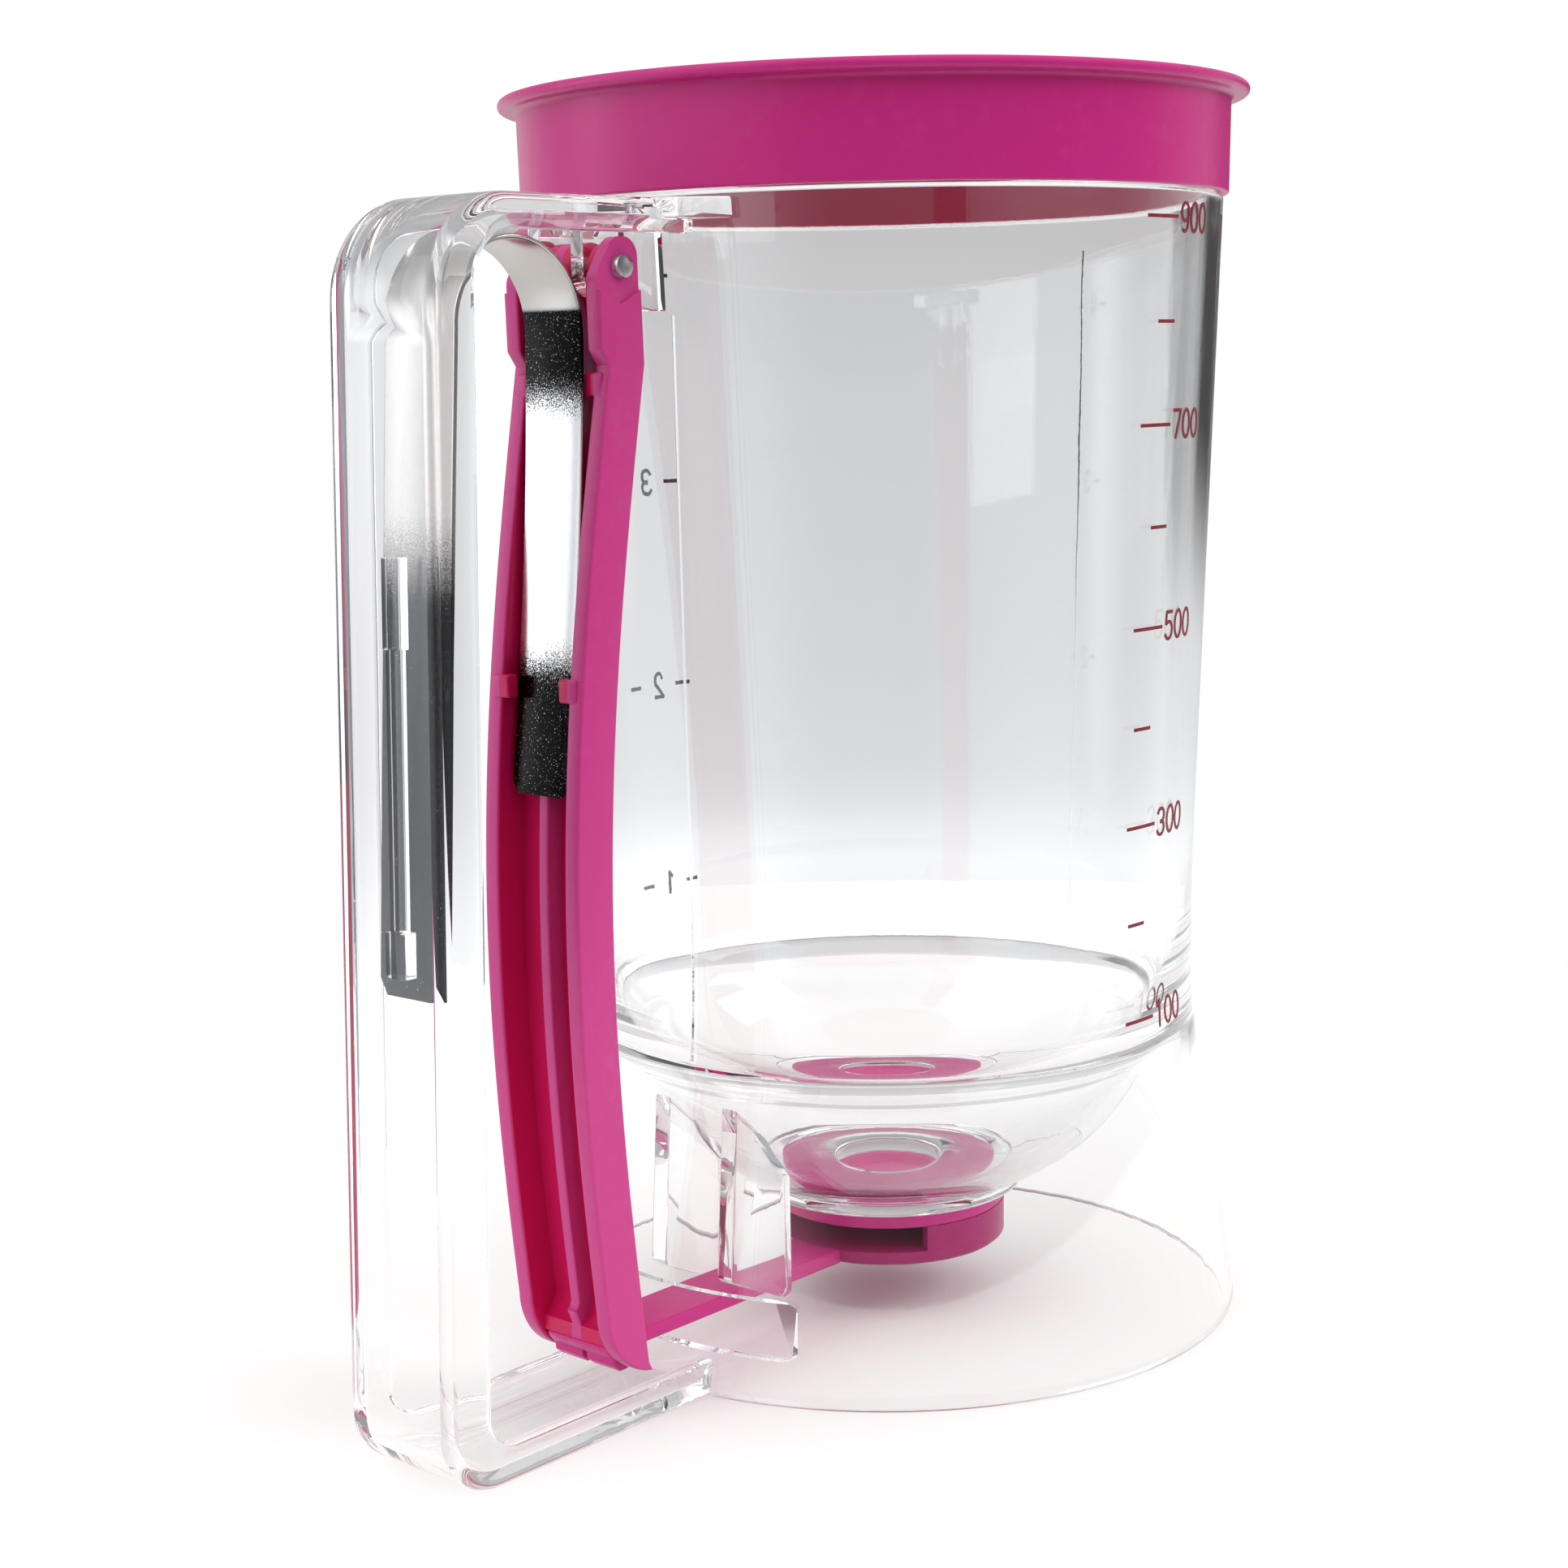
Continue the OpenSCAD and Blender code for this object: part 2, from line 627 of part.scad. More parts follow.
// Flat arm from the valve to the lever foot, ending in a wider head with two barbs
module valve_arm() {
    tip_x = head_x + head_tip;
    color(hot_pink) on_axis() {
        difference() {
            translate([-head_x, -arm_w / 2, plate_low_z]) cube([head_x, arm_w, arm_t]);
            translate([0, 0, plate_low_z - 1]) cylinder(h = arm_t + 2, r = valve_r);
        }
        side_slab(-head_half, head_half) polygon([[-head_x, plate_low_z], [-head_x, plate_top_z],
            [-tip_x, plate_top_z], [-tip_x + 0.4 * arm_t, plate_low_z + arm_t / 2],
            [-tip_x + 0.8 * arm_t, plate_low_z]]);
        both_sides(barb_gap, head_half) polygon([[-head_x - 0.1, plate_low_z + eps],
            [-head_x - 0.4, plate_low_z - barb_h], [-head_x - barb_h, plate_low_z - barb_h],
            [-tip_x + 0.9 * arm_t, plate_low_z - barb_h / 2], [-tip_x + 0.8 * arm_t, plate_low_z + eps]]);
    }
}

// Bottom plate and the band around the far side, open towards the arm
module valve_cup() {
    far = 3 * valve_r;
    edge = 2 * valve_r * [-cos(band_open), sin(band_open)];
    color(hot_pink) on_axis() {
        difference() {
            rotate_extrude() polygon(concat([[0, plate_low_z]],
                corner_arc([0, plate_low_z], [valve_r, plate_low_z], [valve_r, band_top_z], 1, 5),
                [[valve_r, band_top_z], [valve_r - band_t, band_top_z],
                [valve_r - band_t, plate_top_z], [0, plate_top_z]]));
            translate([0, 0, plate_top_z]) linear_extrude(band_h + 1)
                polygon([[0, 0], edge, [-far, edge.y], [-far, -edge.y], [edge.x, -edge.y]]);
        }
        // Post under the middle of the disc
        translate([0, 0, plate_top_z]) cylinder(h = band_h, r = post_r);
    }
}

// Sealing disc with a shallow dish in the middle
module valve_disc() {
    dish_r = outlet_r - 0.7;
    color(hot_pink) on_axis() rotate_extrude() polygon(concat([[0, band_top_z], [valve_r, band_top_z]],
        corner_arc([valve_r, band_top_z], [valve_r, disc_top_z], [0, disc_top_z], disc_t / 4, 5),
        [[dish_r, disc_top_z], [dish_r - dish_h, disc_top_z - dish_h], [0, disc_top_z - dish_h]]));
}

module lid_top() {
    under = [lid_flange_r, lid_under_z];
    over = [lid_flange_r, lid_top_z];
    color(hot_pink) on_axis() rotate_extrude() polygon(concat([[0, lid_under_z]],
        corner_arc([0, lid_under_z], under, over, lid_edge_r - eps, 6),
        corner_arc(under, over, [0, lid_top_z], lid_edge_r, 6), [[0, lid_top_z]]));
}

module lid_skirt() {
    low = shoulder_z + lid_seat;
    in_r = lid_skirt_r - lid_wall;
    color(hot_pink) on_axis() rotate_extrude() polygon([[in_r, low], [lid_skirt_r, low],
        [lid_skirt_r + lid_flare, lid_under_z], [in_r, lid_under_z]]);
}

hopper();
hopper_rim();
funnel();
outlet_boss();
stand();
guide_plate_left();
guide_plate_right();
rim_collar();
hinge_bracket();
handle_top_arm();
handle_grip();
handle_foot_arm();
spring_rib();
leaf_spring();
scale_ml();
scale_cups();
lever();
lever_rib();
hinge_pin();
valve_arm();
valve_cup();
valve_disc();
lid_top();
lid_skirt();
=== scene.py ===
import bpy
import math
import numpy as np
from mathutils import Matrix, Vector


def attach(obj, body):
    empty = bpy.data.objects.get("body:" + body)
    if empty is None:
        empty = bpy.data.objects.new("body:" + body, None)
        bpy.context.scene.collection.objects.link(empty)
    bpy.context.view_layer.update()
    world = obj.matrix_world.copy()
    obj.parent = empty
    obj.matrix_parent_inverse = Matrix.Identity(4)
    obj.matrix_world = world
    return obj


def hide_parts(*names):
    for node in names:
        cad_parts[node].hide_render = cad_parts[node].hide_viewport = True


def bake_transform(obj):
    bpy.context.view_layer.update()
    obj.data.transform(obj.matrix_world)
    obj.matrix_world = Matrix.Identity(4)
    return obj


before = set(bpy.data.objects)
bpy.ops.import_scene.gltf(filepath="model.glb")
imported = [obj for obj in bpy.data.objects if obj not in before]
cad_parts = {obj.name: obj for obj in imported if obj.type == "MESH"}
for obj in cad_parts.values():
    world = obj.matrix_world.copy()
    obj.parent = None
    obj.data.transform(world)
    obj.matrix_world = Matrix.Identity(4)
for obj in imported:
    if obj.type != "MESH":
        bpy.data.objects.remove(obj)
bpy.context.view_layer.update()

# Everything below is worked out in mm about the hopper axis; z is up from the table,
# the handle is towards -x, and the millilitre scale is on the -y side.
mm = 0.001
axisOffset = 23.4


def gridFaces(rows, cols, loopRows=False):
    # quads between neighbouring points of a grid, as index sums; each row is a loop, and loopRows joins the last row
    # to the first
    i = np.arange(rows if loopRows else rows - 1)[:, None]
    j = np.arange(cols)[None, :]
    down, right = (i + 1) % rows, (j + 1) % cols
    quads = np.stack([i * cols + j, i * cols + right, down * cols + right, down * cols + j], -1)
    return quads.reshape(-1, 4).tolist()


def tubeFaces(rows, cols):
    # a loop of cols points carried along rows places, with a cap at each end
    last = (rows - 1) * cols
    return gridFaces(rows, cols) + [list(range(cols))[::-1], list(range(last, last + cols))]


def closedVolume(points, faces):
    # sum of the signed volumes of the fans of all faces; negative when the faces point inwards
    total = 0.0
    for size in {len(f) for f in faces}:
        ring = points[np.array([f for f in faces if len(f) == size])]
        first, here, after = ring[:, :1], ring[:, 1:-1], ring[:, 2:]
        total += np.einsum("fij,fij->", np.broadcast_to(first, here.shape), np.cross(here, after))
    return total / 6


def addMesh(name, points, faces):
    mesh = bpy.data.meshes.new(name)
    mesh.from_pydata(((points + [axisOffset, 0, 0]) * mm).tolist(), [], faces)
    piece = bpy.data.objects.new(name, mesh)
    bpy.context.collection.objects.link(piece)
    return piece


def shadePiece(piece, sharp):
    mesh = piece.data
    mesh.polygons.foreach_set("use_smooth", np.ones(len(mesh.polygons), bool))
    mesh.set_sharp_from_angle(angle=math.radians(sharp))
    mesh.update()


def makePiece(name, points, faces, sharp=30):
    if closedVolume(points, faces) < 0:
        faces = [f[::-1] for f in faces]
    piece = addMesh(name, points, faces)
    piece.data.validate()
    shadePiece(piece, sharp)
    return piece


def turned(name, line, steps, sharp=30):
    # a line of (radius, z) carried round the axis: x = r cos a, y = r sin a
    # a line off the axis is closed; one that starts and ends on the axis gets one pole at each end
    line = np.asarray(line, float)
    a = np.linspace(0, 2 * np.pi, steps, endpoint=False)
    onAxis = line[:, 0] < 1e-9
    body, poles = line[~onAxis], line[onAxis]
    points = np.stack([body[:, 0, None] * np.cos(a), body[:, 0, None] * np.sin(a),
                       np.repeat(body[:, 1:], steps, 1)], -1).reshape(-1, 3)
    faces = gridFaces(len(body), steps, not len(poles))
    if len(poles):
        k = np.arange(steps)
        first, last = len(points), (len(body) - 1) * steps
        faces += np.stack([k, np.full(steps, first), (k + 1) % steps], -1).tolist()
        faces += np.stack([last + k, last + (k + 1) % steps, np.full(steps, first + 1)], -1).tolist()
        points = np.vstack([points, np.column_stack([poles[:, 0], 0 * poles[:, 0], poles[:, 1]])])
    return makePiece(name, points, faces, sharp)


def outlineNormals(outline):
    # outward normals of a closed outline, each the mean of its two edge normals, longer at sharp corners
    area = 0.5 * np.sum(outline[:, 0] * np.roll(outline[:, 1], -1) - np.roll(outline[:, 0], -1) * outline[:, 1])
    edge = np.roll(outline, -1, 0) - outline
    edge = edge / np.linalg.norm(edge, axis=1)[:, None]
    out = np.column_stack([edge[:, 1], -edge[:, 0]]) * np.sign(area)
    before = np.roll(out, 1, 0)
    mean = out + before
    mean = mean / np.linalg.norm(mean, axis=1)[:, None]
    return mean / np.clip(np.sum(mean * out, 1), 0.5, 1)[:, None]


def slab(name, outline, low, high, edge=0.4, axis="y"):
    # an outline carried between two heights; near each end it draws in along a quarter circle, which rounds the edge
    outline = np.asarray(outline, float)
    outline = outline[np.linalg.norm(outline - np.roll(outline, 1, 0), axis=1) > 1e-4]
    t = np.linspace(0, np.pi / 2, 5)
    inset, rise = edge * (1 - np.sin(t)), edge * (1 - np.cos(t))
    inset = np.concatenate([inset, inset[::-1]])[:, None, None]
    level = np.concatenate([low + rise, high - rise[::-1]])[:, None, None]
    flat = outline - outlineNormals(outline) * inset
    order = {"x": [2, 0, 1], "y": [0, 2, 1], "z": [0, 1, 2]}[axis]
    grid = np.concatenate([flat, np.broadcast_to(level, flat[..., :1].shape)], -1)[..., order]
    return makePiece(name, grid.reshape(-1, 3), tubeFaces(*grid.shape[:2]))


def roundCorners(corners, n):
    # a closed outline from (x, z, radius): each corner becomes the arc that touches both of its sides
    c = np.asarray(corners, float)
    out = []
    for here, before, after in zip(c, np.roll(c, 1, 0), np.roll(c, -1, 0)):
        out += [here[:2]] if here[2] == 0 else list(cornerArc(before[:2], here[:2], after[:2], here[2], n))
    return np.array(out)


def cornerArc(a, b, c, r, n):
    # arc of radius r that touches ba and bc: its centre is on the bisector at r / sin(half angle)
    u, v = (a - b) / np.linalg.norm(a - b), (c - b) / np.linalg.norm(c - b)
    half = math.acos(float(u @ v)) / 2
    centre = b + (u + v) / np.linalg.norm(u + v) * r / math.sin(half)
    p, q = b + u * r / math.tan(half) - centre, b + v * r / math.tan(half) - centre
    start = math.atan2(p[1], p[0])
    turn = (math.atan2(q[1], q[0]) - start + np.pi) % (2 * np.pi) - np.pi
    t = start + turn * np.linspace(0, 1, n + 1)
    return centre + r * np.column_stack([np.cos(t), np.sin(t)])


def arcPoints(x, z, rx, rz, start, end, n):
    # part of an ellipse between two angles in degrees: (x + rx cos t, z + rz sin t)
    t = np.radians(np.linspace(start, end, n))
    return np.column_stack([x + rx * np.cos(t), z + rz * np.sin(t)])


def joinPieces(target, others, how="UNION"):
    # exact union or cut, put into the target's own mesh
    for other in others:
        step = target.modifiers.new("join", "BOOLEAN")
        step.solver = "MANIFOLD"
        step.operation = how
        step.object = other
    bpy.context.view_layer.update()
    result = bpy.data.meshes.new_from_object(target.evaluated_get(bpy.context.evaluated_depsgraph_get()))
    old = target.data
    target.modifiers.clear()
    target.data = result
    bpy.data.meshes.remove(old)
    for other in others:
        bpy.data.meshes.remove(other.data)
    shadePiece(target, 30)
    return target


hinge = {"x": -63.4, "z": 159.9, "pinR": 1.6, "boreR": 1.66, "pinHalf": 9.55, "dome": 0.3, "domeFrom": 20}


def rod(name, r, low, high, edge=0.3):
    # a round bar along y about the hinge line
    t = np.linspace(0, 2 * np.pi, 48, endpoint=False)
    return slab(name, np.column_stack([hinge["x"] + r * np.cos(t), hinge["z"] + r * np.sin(t)]), low, high, edge)


hopper = {"topR": 52.3, "lowR": 46.9, "flare": 1.45, "flareZ": 75.33, "waistZ": 45.5, "shoulderZ": 169.8,
          "wall": 2.0, "rimR": 51.4, "rimWall": 1.2, "rimTop": 182.0,
          "bowlOut": 41.18, "bowlOutDrop": 29.53, "bowlIn": 38.98, "bowlInDrop": 27.33, "bowlTop": 45.0,
          "bossR": 21.0, "bossZ": 17.8, "floorZ": 20.6, "outletR": 8.5,
          "standR": 54.8, "standWall": 1.8, "standCurve": 0.9, "creaseZ": 40.0,
          "throatR": 44.45, "throatZ": 50.0, "throatArc": 18.5, "throatFrom": 14, "throatTo": 29}


def taperR(z):
    h = hopper
    return h["lowR"] + (h["topR"] - h["lowR"]) * (z - h["waistZ"]) / (h["shoulderZ"] - h["waistZ"])


def hopperR(z):
    # straight taper plus a swell that grows with the square of the distance below flareZ
    below = np.maximum(0, hopper["flareZ"] - z) / (hopper["flareZ"] - hopper["waistZ"])
    return taperR(z) + hopper["flare"] * below ** 2


def standR(z):
    # the flare follows a power of the height, a little quicker near the table
    waistR = hopper["lowR"] + hopper["flare"]
    return hopper["standR"] - (hopper["standR"] - waistR) * (z / hopper["waistZ"]) ** hopper["standCurve"]


def throatLine():
    # an arc that turns from 14 to 29 degrees off the vertical, a short cone, then round into the bowl
    h = hopper
    start = math.radians(h["throatFrom"])
    ring = arcPoints(h["throatR"] - h["throatArc"] * math.cos(start), h["throatZ"] + h["throatArc"] * math.sin(start),
                     h["throatArc"], -h["throatArc"], h["throatFrom"], h["throatTo"], 9)
    return np.vstack([ring, cornerArc(ring[-1], np.array([38.84, 41.52]), np.array([38.03, 39.0]), 8.0, 8)])


def mouldingLine():
    # one closed line round the whole wall: up the outside, over the rim, down the inside,
    # through the outlet, back up the underside of the bowl and down the inside of the stand
    h = hopper
    standInR, rimInR, crease = h["standR"] - h["standWall"], h["rimR"] - h["rimWall"], h["creaseZ"]
    up = np.linspace(h["waistZ"], h["shoulderZ"] - 0.4, 44)
    step = roundCorners([(h["topR"], 160, 0), (h["topR"], h["shoulderZ"], 0.4), (h["rimR"], h["shoulderZ"], 0.25),
                         (h["rimR"], h["rimTop"], 0.55), (rimInR, h["rimTop"], 0.55), (rimInR, 160, 0)], 5)[1:-1]
    down = np.linspace(166, 58, 24)
    floorT = math.degrees(math.asin((h["bowlTop"] - h["floorZ"]) / h["bowlInDrop"]))
    bowlIn = arcPoints(0, h["bowlTop"], h["bowlIn"], -h["bowlInDrop"], 13.5, floorT - 2.5, 20)
    hole = roundCorners([(17.2, h["floorZ"], 1.0), (h["outletR"], h["floorZ"], 0.6), (h["outletR"], h["bossZ"], 0.3),
                         (h["bossR"], h["bossZ"], 0.5), (h["bossR"], 19.7, 0.3)], 4)
    bossT = math.acos(h["bossR"] / h["bowlOut"])
    t = np.linspace(bossT - 0.04, 0.25, 22)
    bowlOut = np.column_stack([h["bowlOut"] * np.cos(t), h["bowlTop"] - h["bowlOutDrop"] * np.sin(t)])
    fold = roundCorners([(40.0, 38.0, 0), (40.82, 40.41, 5.8), (46.4, 46.2, 0.3),
                         (standR(crease) - h["standWall"], crease, 0)], 8)[1:-1]
    low = np.linspace(crease, 1.2, 16)
    foot = roundCorners([(standR(3) - h["standWall"], 3, 0), (standInR, 0, 0.5), (h["standR"], 0, 0.9),
                         (standR(3), 3, 0)], 5)[1:-1]
    rise = np.linspace(2.2, h["waistZ"] - 0.6, 18)
    return np.vstack([np.column_stack([hopperR(up), up]), step, np.column_stack([taperR(down) - h["wall"], down]),
                      throatLine(), bowlIn, hole, bowlOut, fold, np.column_stack([standR(low) - h["standWall"], low]),
                      foot, np.column_stack([standR(rise), rise])])


handle = {"reach": 103.2, "lean": 5.6, "topZ": 169.0, "half": 10.3, "wall": 2.2, "gripDepth": 7.6, "topDepth": 4.7,
          "footDepth": 5.5, "topR": 14.0, "footR": 9.0, "pocketTopR": 7.0, "pocketFootR": 4.5, "edge": 1.7, "lip": 0.55,
          "topEnd": -50.6, "footEnd": -52.9}


def gripX(z):
    # outer face of the grip: reach at the table, and a line that leans in over its height
    return handle["reach"] - handle["lean"] * z / handle["topZ"]


def handleLayer(gripIn, topIn, footIn, topR, footR):
    # the D line at one depth: top arm, corner, grip, corner, foot arm, with the same number of points at every depth
    top = handle["topZ"] - topIn
    a, b = np.array([handle["topEnd"], top]), np.array([gripIn - gripX(top), top])
    c, d = np.array([gripIn - gripX(footIn), footIn]), np.array([handle["footEnd"], footIn])
    high, low = cornerArc(a, b, c, topR, 22), cornerArc(b, c, d, footR, 22)
    t = np.linspace(0, 1, 14)[:, None]
    u = np.linspace(0, 1, 30)[1:-1, None]
    return np.vstack([(a + (high[0] - a) * t)[:-1], high, high[-1] + (low[0] - high[-1]) * u, low,
                      (low[-1] + (d - low[-1]) * t)[1:]])


def handleChannel():
    # a U section carried along the D: each section point lies between two depth lines and keeps its own y
    h = handle
    outer = handleLayer(0, 0, 0, h["topR"], h["footR"])
    back = handleLayer(h["wall"], h["wall"], h["wall"], h["topR"] - h["wall"], h["footR"] - h["wall"])
    rimLine = handleLayer(h["gripDepth"], h["topDepth"], h["footDepth"], h["pocketTopR"], h["pocketFootR"])
    e, w, half, lip = h["edge"], h["wall"], h["half"], h["lip"]
    # (y, depth) of the section; depth 0 to 1 lies between outer and back, and 1 to 2 between back and the rim
    right = [(half - e + e * math.sin(t), (e - e * math.cos(t)) / w) for t in np.linspace(0, np.pi / 2, 7)]
    right += [(half, 1.2), (half, 1.82), (half - 0.16, 1.95), (half - lip, 2), (half - w + lip, 2),
              (half - w + 0.16, 1.95), (half - w, 1.82), (half - w, 1.3), (half - w - 0.25, 1.07),
              (half - w - 0.9, 1.0)]
    section = np.array(right + [(-y, depth) for y, depth in reversed(right)])
    y, depth = section[None, :, 0], section[None, :, 1, None]
    flat = (outer[:, None] + (back - outer)[:, None] * np.minimum(depth, 1)
            + (rimLine - back)[:, None] * np.maximum(depth - 1, 0))
    grid = np.stack([flat[..., 0], np.repeat(y, len(outer), 0), flat[..., 1]], -1)
    return makePiece("handleChannel", grid.reshape(-1, 3), tubeFaces(*grid.shape[:2]))


fittings = {"collarLow": 166.2, "collarHalf": 17.0, "plateIn": 5.1, "plateOut": 8.0, "lugIn": 2.9, "lugOut": 5.2,
            "barDeep": 2.05, "barFace": 4.0, "barLow": 69.0, "barHigh": 123.4, "barHalf": 0.9, "footHalf": 1.9,
            "headHalf": 1.45, "lineLow": 47.5, "slotHalf": 22, "slotLow": 6.6, "slotHigh": 14.8, "slotX": -47.5}


def onBothSides(name, corners, inner, outer, edge, n):
    # the same outline on either side of the middle plane
    outline = roundCorners(corners, n)
    return [slab(name + "Near", outline, -outer, -inner, edge), slab(name + "Far", outline, inner, outer, edge)]


def springBar(name, lowZ, highZ, half):
    # the back of the bar is sunk into the grip's wall, and its face keeps one distance from the grip's outer face
    deep, face = fittings["barDeep"], fittings["barFace"]
    outline = [(deep - gripX(lowZ), lowZ), (face - gripX(lowZ), lowZ), (face - gripX(highZ), highZ),
               (deep - gripX(highZ), highZ)]
    return slab(name, outline, -half, half, 0.22)


def partingLine(name, degrees, drift, lowZ, highZ):
    # a fine ridge: a diamond section carried up the wall while its angle drifts a little
    z = np.linspace(lowZ, highZ, 40)
    a = np.radians(degrees + drift * (z - lowZ) / (highZ - lowZ))
    r = hopperR(z)
    corners = [(-0.24, 0), (0, 0.2), (0.24, 0), (0, -0.25)]
    grid = np.stack([np.column_stack([(r + up) * np.cos(a + side / r), (r + up) * np.sin(a + side / r), z])
                     for side, up in corners], 1)
    return makePiece(name, grid.reshape(-1, 3), tubeFaces(len(z), 4))


def buildCollar():
    # a plate under the end of the handle's top arm that widens to the hopper and stops inside its wall
    half, wide = handle["half"], fittings["collarHalf"]
    outline = [(-58.0, half), (-48.5, wide), (-46.0, wide), (-46.0, -wide), (-48.5, -wide), (-58.0, -half)]
    collar = slab("collar", outline, fittings["collarLow"], handle["topZ"], 0.3, "z")
    inside = turned("inside", [(0, 150), (50.9, 150), (50.9, 175), (0, 175)], 96)
    return joinPieces(collar, [inside], "DIFFERENCE")


def buildSlot():
    # the opening in the stand's wall for the valve arm; it stops short of the guide plates
    f = fittings
    half, low, high = f["slotHalf"], f["slotLow"], f["slotHigh"]
    slot = slab("slot", roundCorners([(-half, low, 1.2), (half, low, 1.2), (half, high, 1.2), (-half, high, 1.2)], 6),
                -58, -40, 0.05, "x")
    keep = slab("keep", [(-60, 0), (-60, 20), (f["slotX"], 20), (f["slotX"], 0)], -30, 30, 0.05)
    return joinPieces(slot, [keep], "INTERSECT")


def buildMoulding():
    f = fittings
    body = turned("clearMoulding", mouldingLine(), 256)
    plates = onBothSides("plate", [(-43.6, 40.0, 0), (-45.58, 14.4, 1.4), (-32.5, 8.3, 1.4), (-32.5, 27.5, 0),
                                   (-36.5, 33.5, 0)], f["plateIn"], f["plateOut"], 0.25, 6)
    lugs = onBothSides("lug", [(-51.2, 154.1, 0), (-54.0, 154.1, 3.4), (-67.0, 156.3, 3.5), (-67.0, 167.3, 0),
                               (-51.2, 167.3, 0)], f["lugIn"], f["lugOut"], 0.25, 10)
    bars = [springBar("bar", f["barLow"], f["barHigh"], f["barHalf"]),
            springBar("barFoot", f["barLow"], 75.0, f["footHalf"]),
            springBar("barHead", 111.6, f["barHigh"], f["headHalf"])]
    lines = [partingLine("partNear", 183.9, 3.2, f["lineLow"], 153.5),
             partingLine("partFar", -4, 0, f["lineLow"], 164.0)]
    joinPieces(body, [buildCollar(), handleChannel()] + plates + lugs + bars + lines)
    return joinPieces(body, [rod("bore", hinge["boreR"], -6, 6, 0.05), buildSlot()], "DIFFERENCE")


lever = {"half": 9.2, "channel": 6.5, "depth": 6.8, "web": 2.0, "lowZ": 6.9, "highZ": 147.0, "footZ": 16.9,
         "footR": 10.0, "out": 59.7, "lean": 4.6, "bow": 6.7, "floorZ": 11.4, "floor": 1.8, "turnR": 3.8,
         "webTop": 152.0, "ridgeTop": 93.7, "ridgeUp": 2.5, "ridgeHalf": 0.9, "bossR": 3.05, "barrelR": 3.3,
         "barrelHalf": 2.65, "earR": 2.6, "earCut": 0.7, "nub": 3.2, "nubIn": 4.9, "nubOut": 8.0, "edge": 0.45}


def leverLine(z):
    # body side of the lever: a lean of 4.6 mm plus a half sine wave 6.7 mm out at mid height
    g = lever
    t = (z - g["lowZ"]) / (g["highZ"] - g["lowZ"])
    return g["out"] + g["lean"] * (1 - t) + g["bow"] * np.sin(np.pi * np.clip(t, 0, 1))


strip = {"half": 5.5, "thick": 0.6, "leverX": 67.7, "handleX": 91.1, "archZ": 152.0, "leverLeg": 62.5,
         "handleLeg": 86.0, "curl": 1.6, "chamfer": 1.3, "ridgeGap": 0.25, "barGap": 0.125, "legPoints": 40}


def stripLine():
    # lever leg, half circle and handle leg as one centre line
    s = strip
    lowZ, footZ = s["archZ"] - s["leverLeg"], s["archZ"] - s["handleLeg"]
    radius = (s["handleX"] - s["leverX"]) / 2
    lowX = leverLine(lowZ) + lever["web"] + lever["ridgeUp"] + s["thick"] / 2 + s["ridgeGap"]
    footX = gripX(footZ) - fittings["barFace"] - s["thick"] / 2 - s["barGap"]
    t = np.linspace(0, 1, s["legPoints"])
    leg = np.column_stack([-s["leverX"] - (lowX - s["leverX"]) * (1 - t) ** s["curl"], lowZ + s["leverLeg"] * t])
    arch = arcPoints(-(s["leverX"] + radius), s["archZ"], radius, radius, 0, 180, 34)[1:-1]
    back = np.column_stack([-s["handleX"] - (footX - s["handleX"]) * t, s["archZ"] - s["handleLeg"] * t])
    return np.vstack([leg, arch, back])


def buildStrip():
    # a flat section with round edges carried along the centre line; its half width draws in at both ends
    line = stripLine()
    along = np.gradient(line, axis=0)
    along /= np.linalg.norm(along, axis=1)[:, None]
    run = np.concatenate([[0], np.cumsum(np.linalg.norm(np.diff(line, axis=0), axis=1))])
    half = strip["half"] - np.clip(strip["chamfer"] - np.minimum(run, run[-1] - run), 0, None)
    r = strip["thick"] / 2
    t = np.linspace(-np.pi / 2, np.pi / 2, 6)
    side, off = np.concatenate([np.cos(t), -np.cos(t)]) * r, np.concatenate([np.sin(t), -np.sin(t)]) * r
    y = np.repeat([1, -1], 6) * (half[:, None] - r) + side
    grid = np.stack([line[:, None, 0] - along[:, None, 1] * off, y, line[:, None, 1] + along[:, None, 0] * off], -1)
    return makePiece("springStrip", grid.reshape(-1, 3), tubeFaces(len(line), 12), 50)


def buildPin():
    # a shaft with a shallow dome at each end, turned and then laid along y
    half, r = hinge["pinHalf"], hinge["pinR"]
    end = arcPoints(0, half - hinge["dome"] * math.sin(math.radians(hinge["domeFrom"])), r, hinge["dome"],
                    90, hinge["domeFrom"], 7)
    end[0, 0] = 0
    pin = turned("hingePin", np.vstack([end * [1, -1], [[r, 0.25 - half], [r, half - 0.25]], end[::-1]]), 48, 40)
    place = Matrix.Translation(((axisOffset + hinge["x"]) * mm, 0, hinge["z"] * mm))
    pin.data.transform(place @ Matrix.Rotation(math.radians(90), 4, "X") @ Matrix.Translation((-axisOffset * mm, 0, 0)))
    return pin


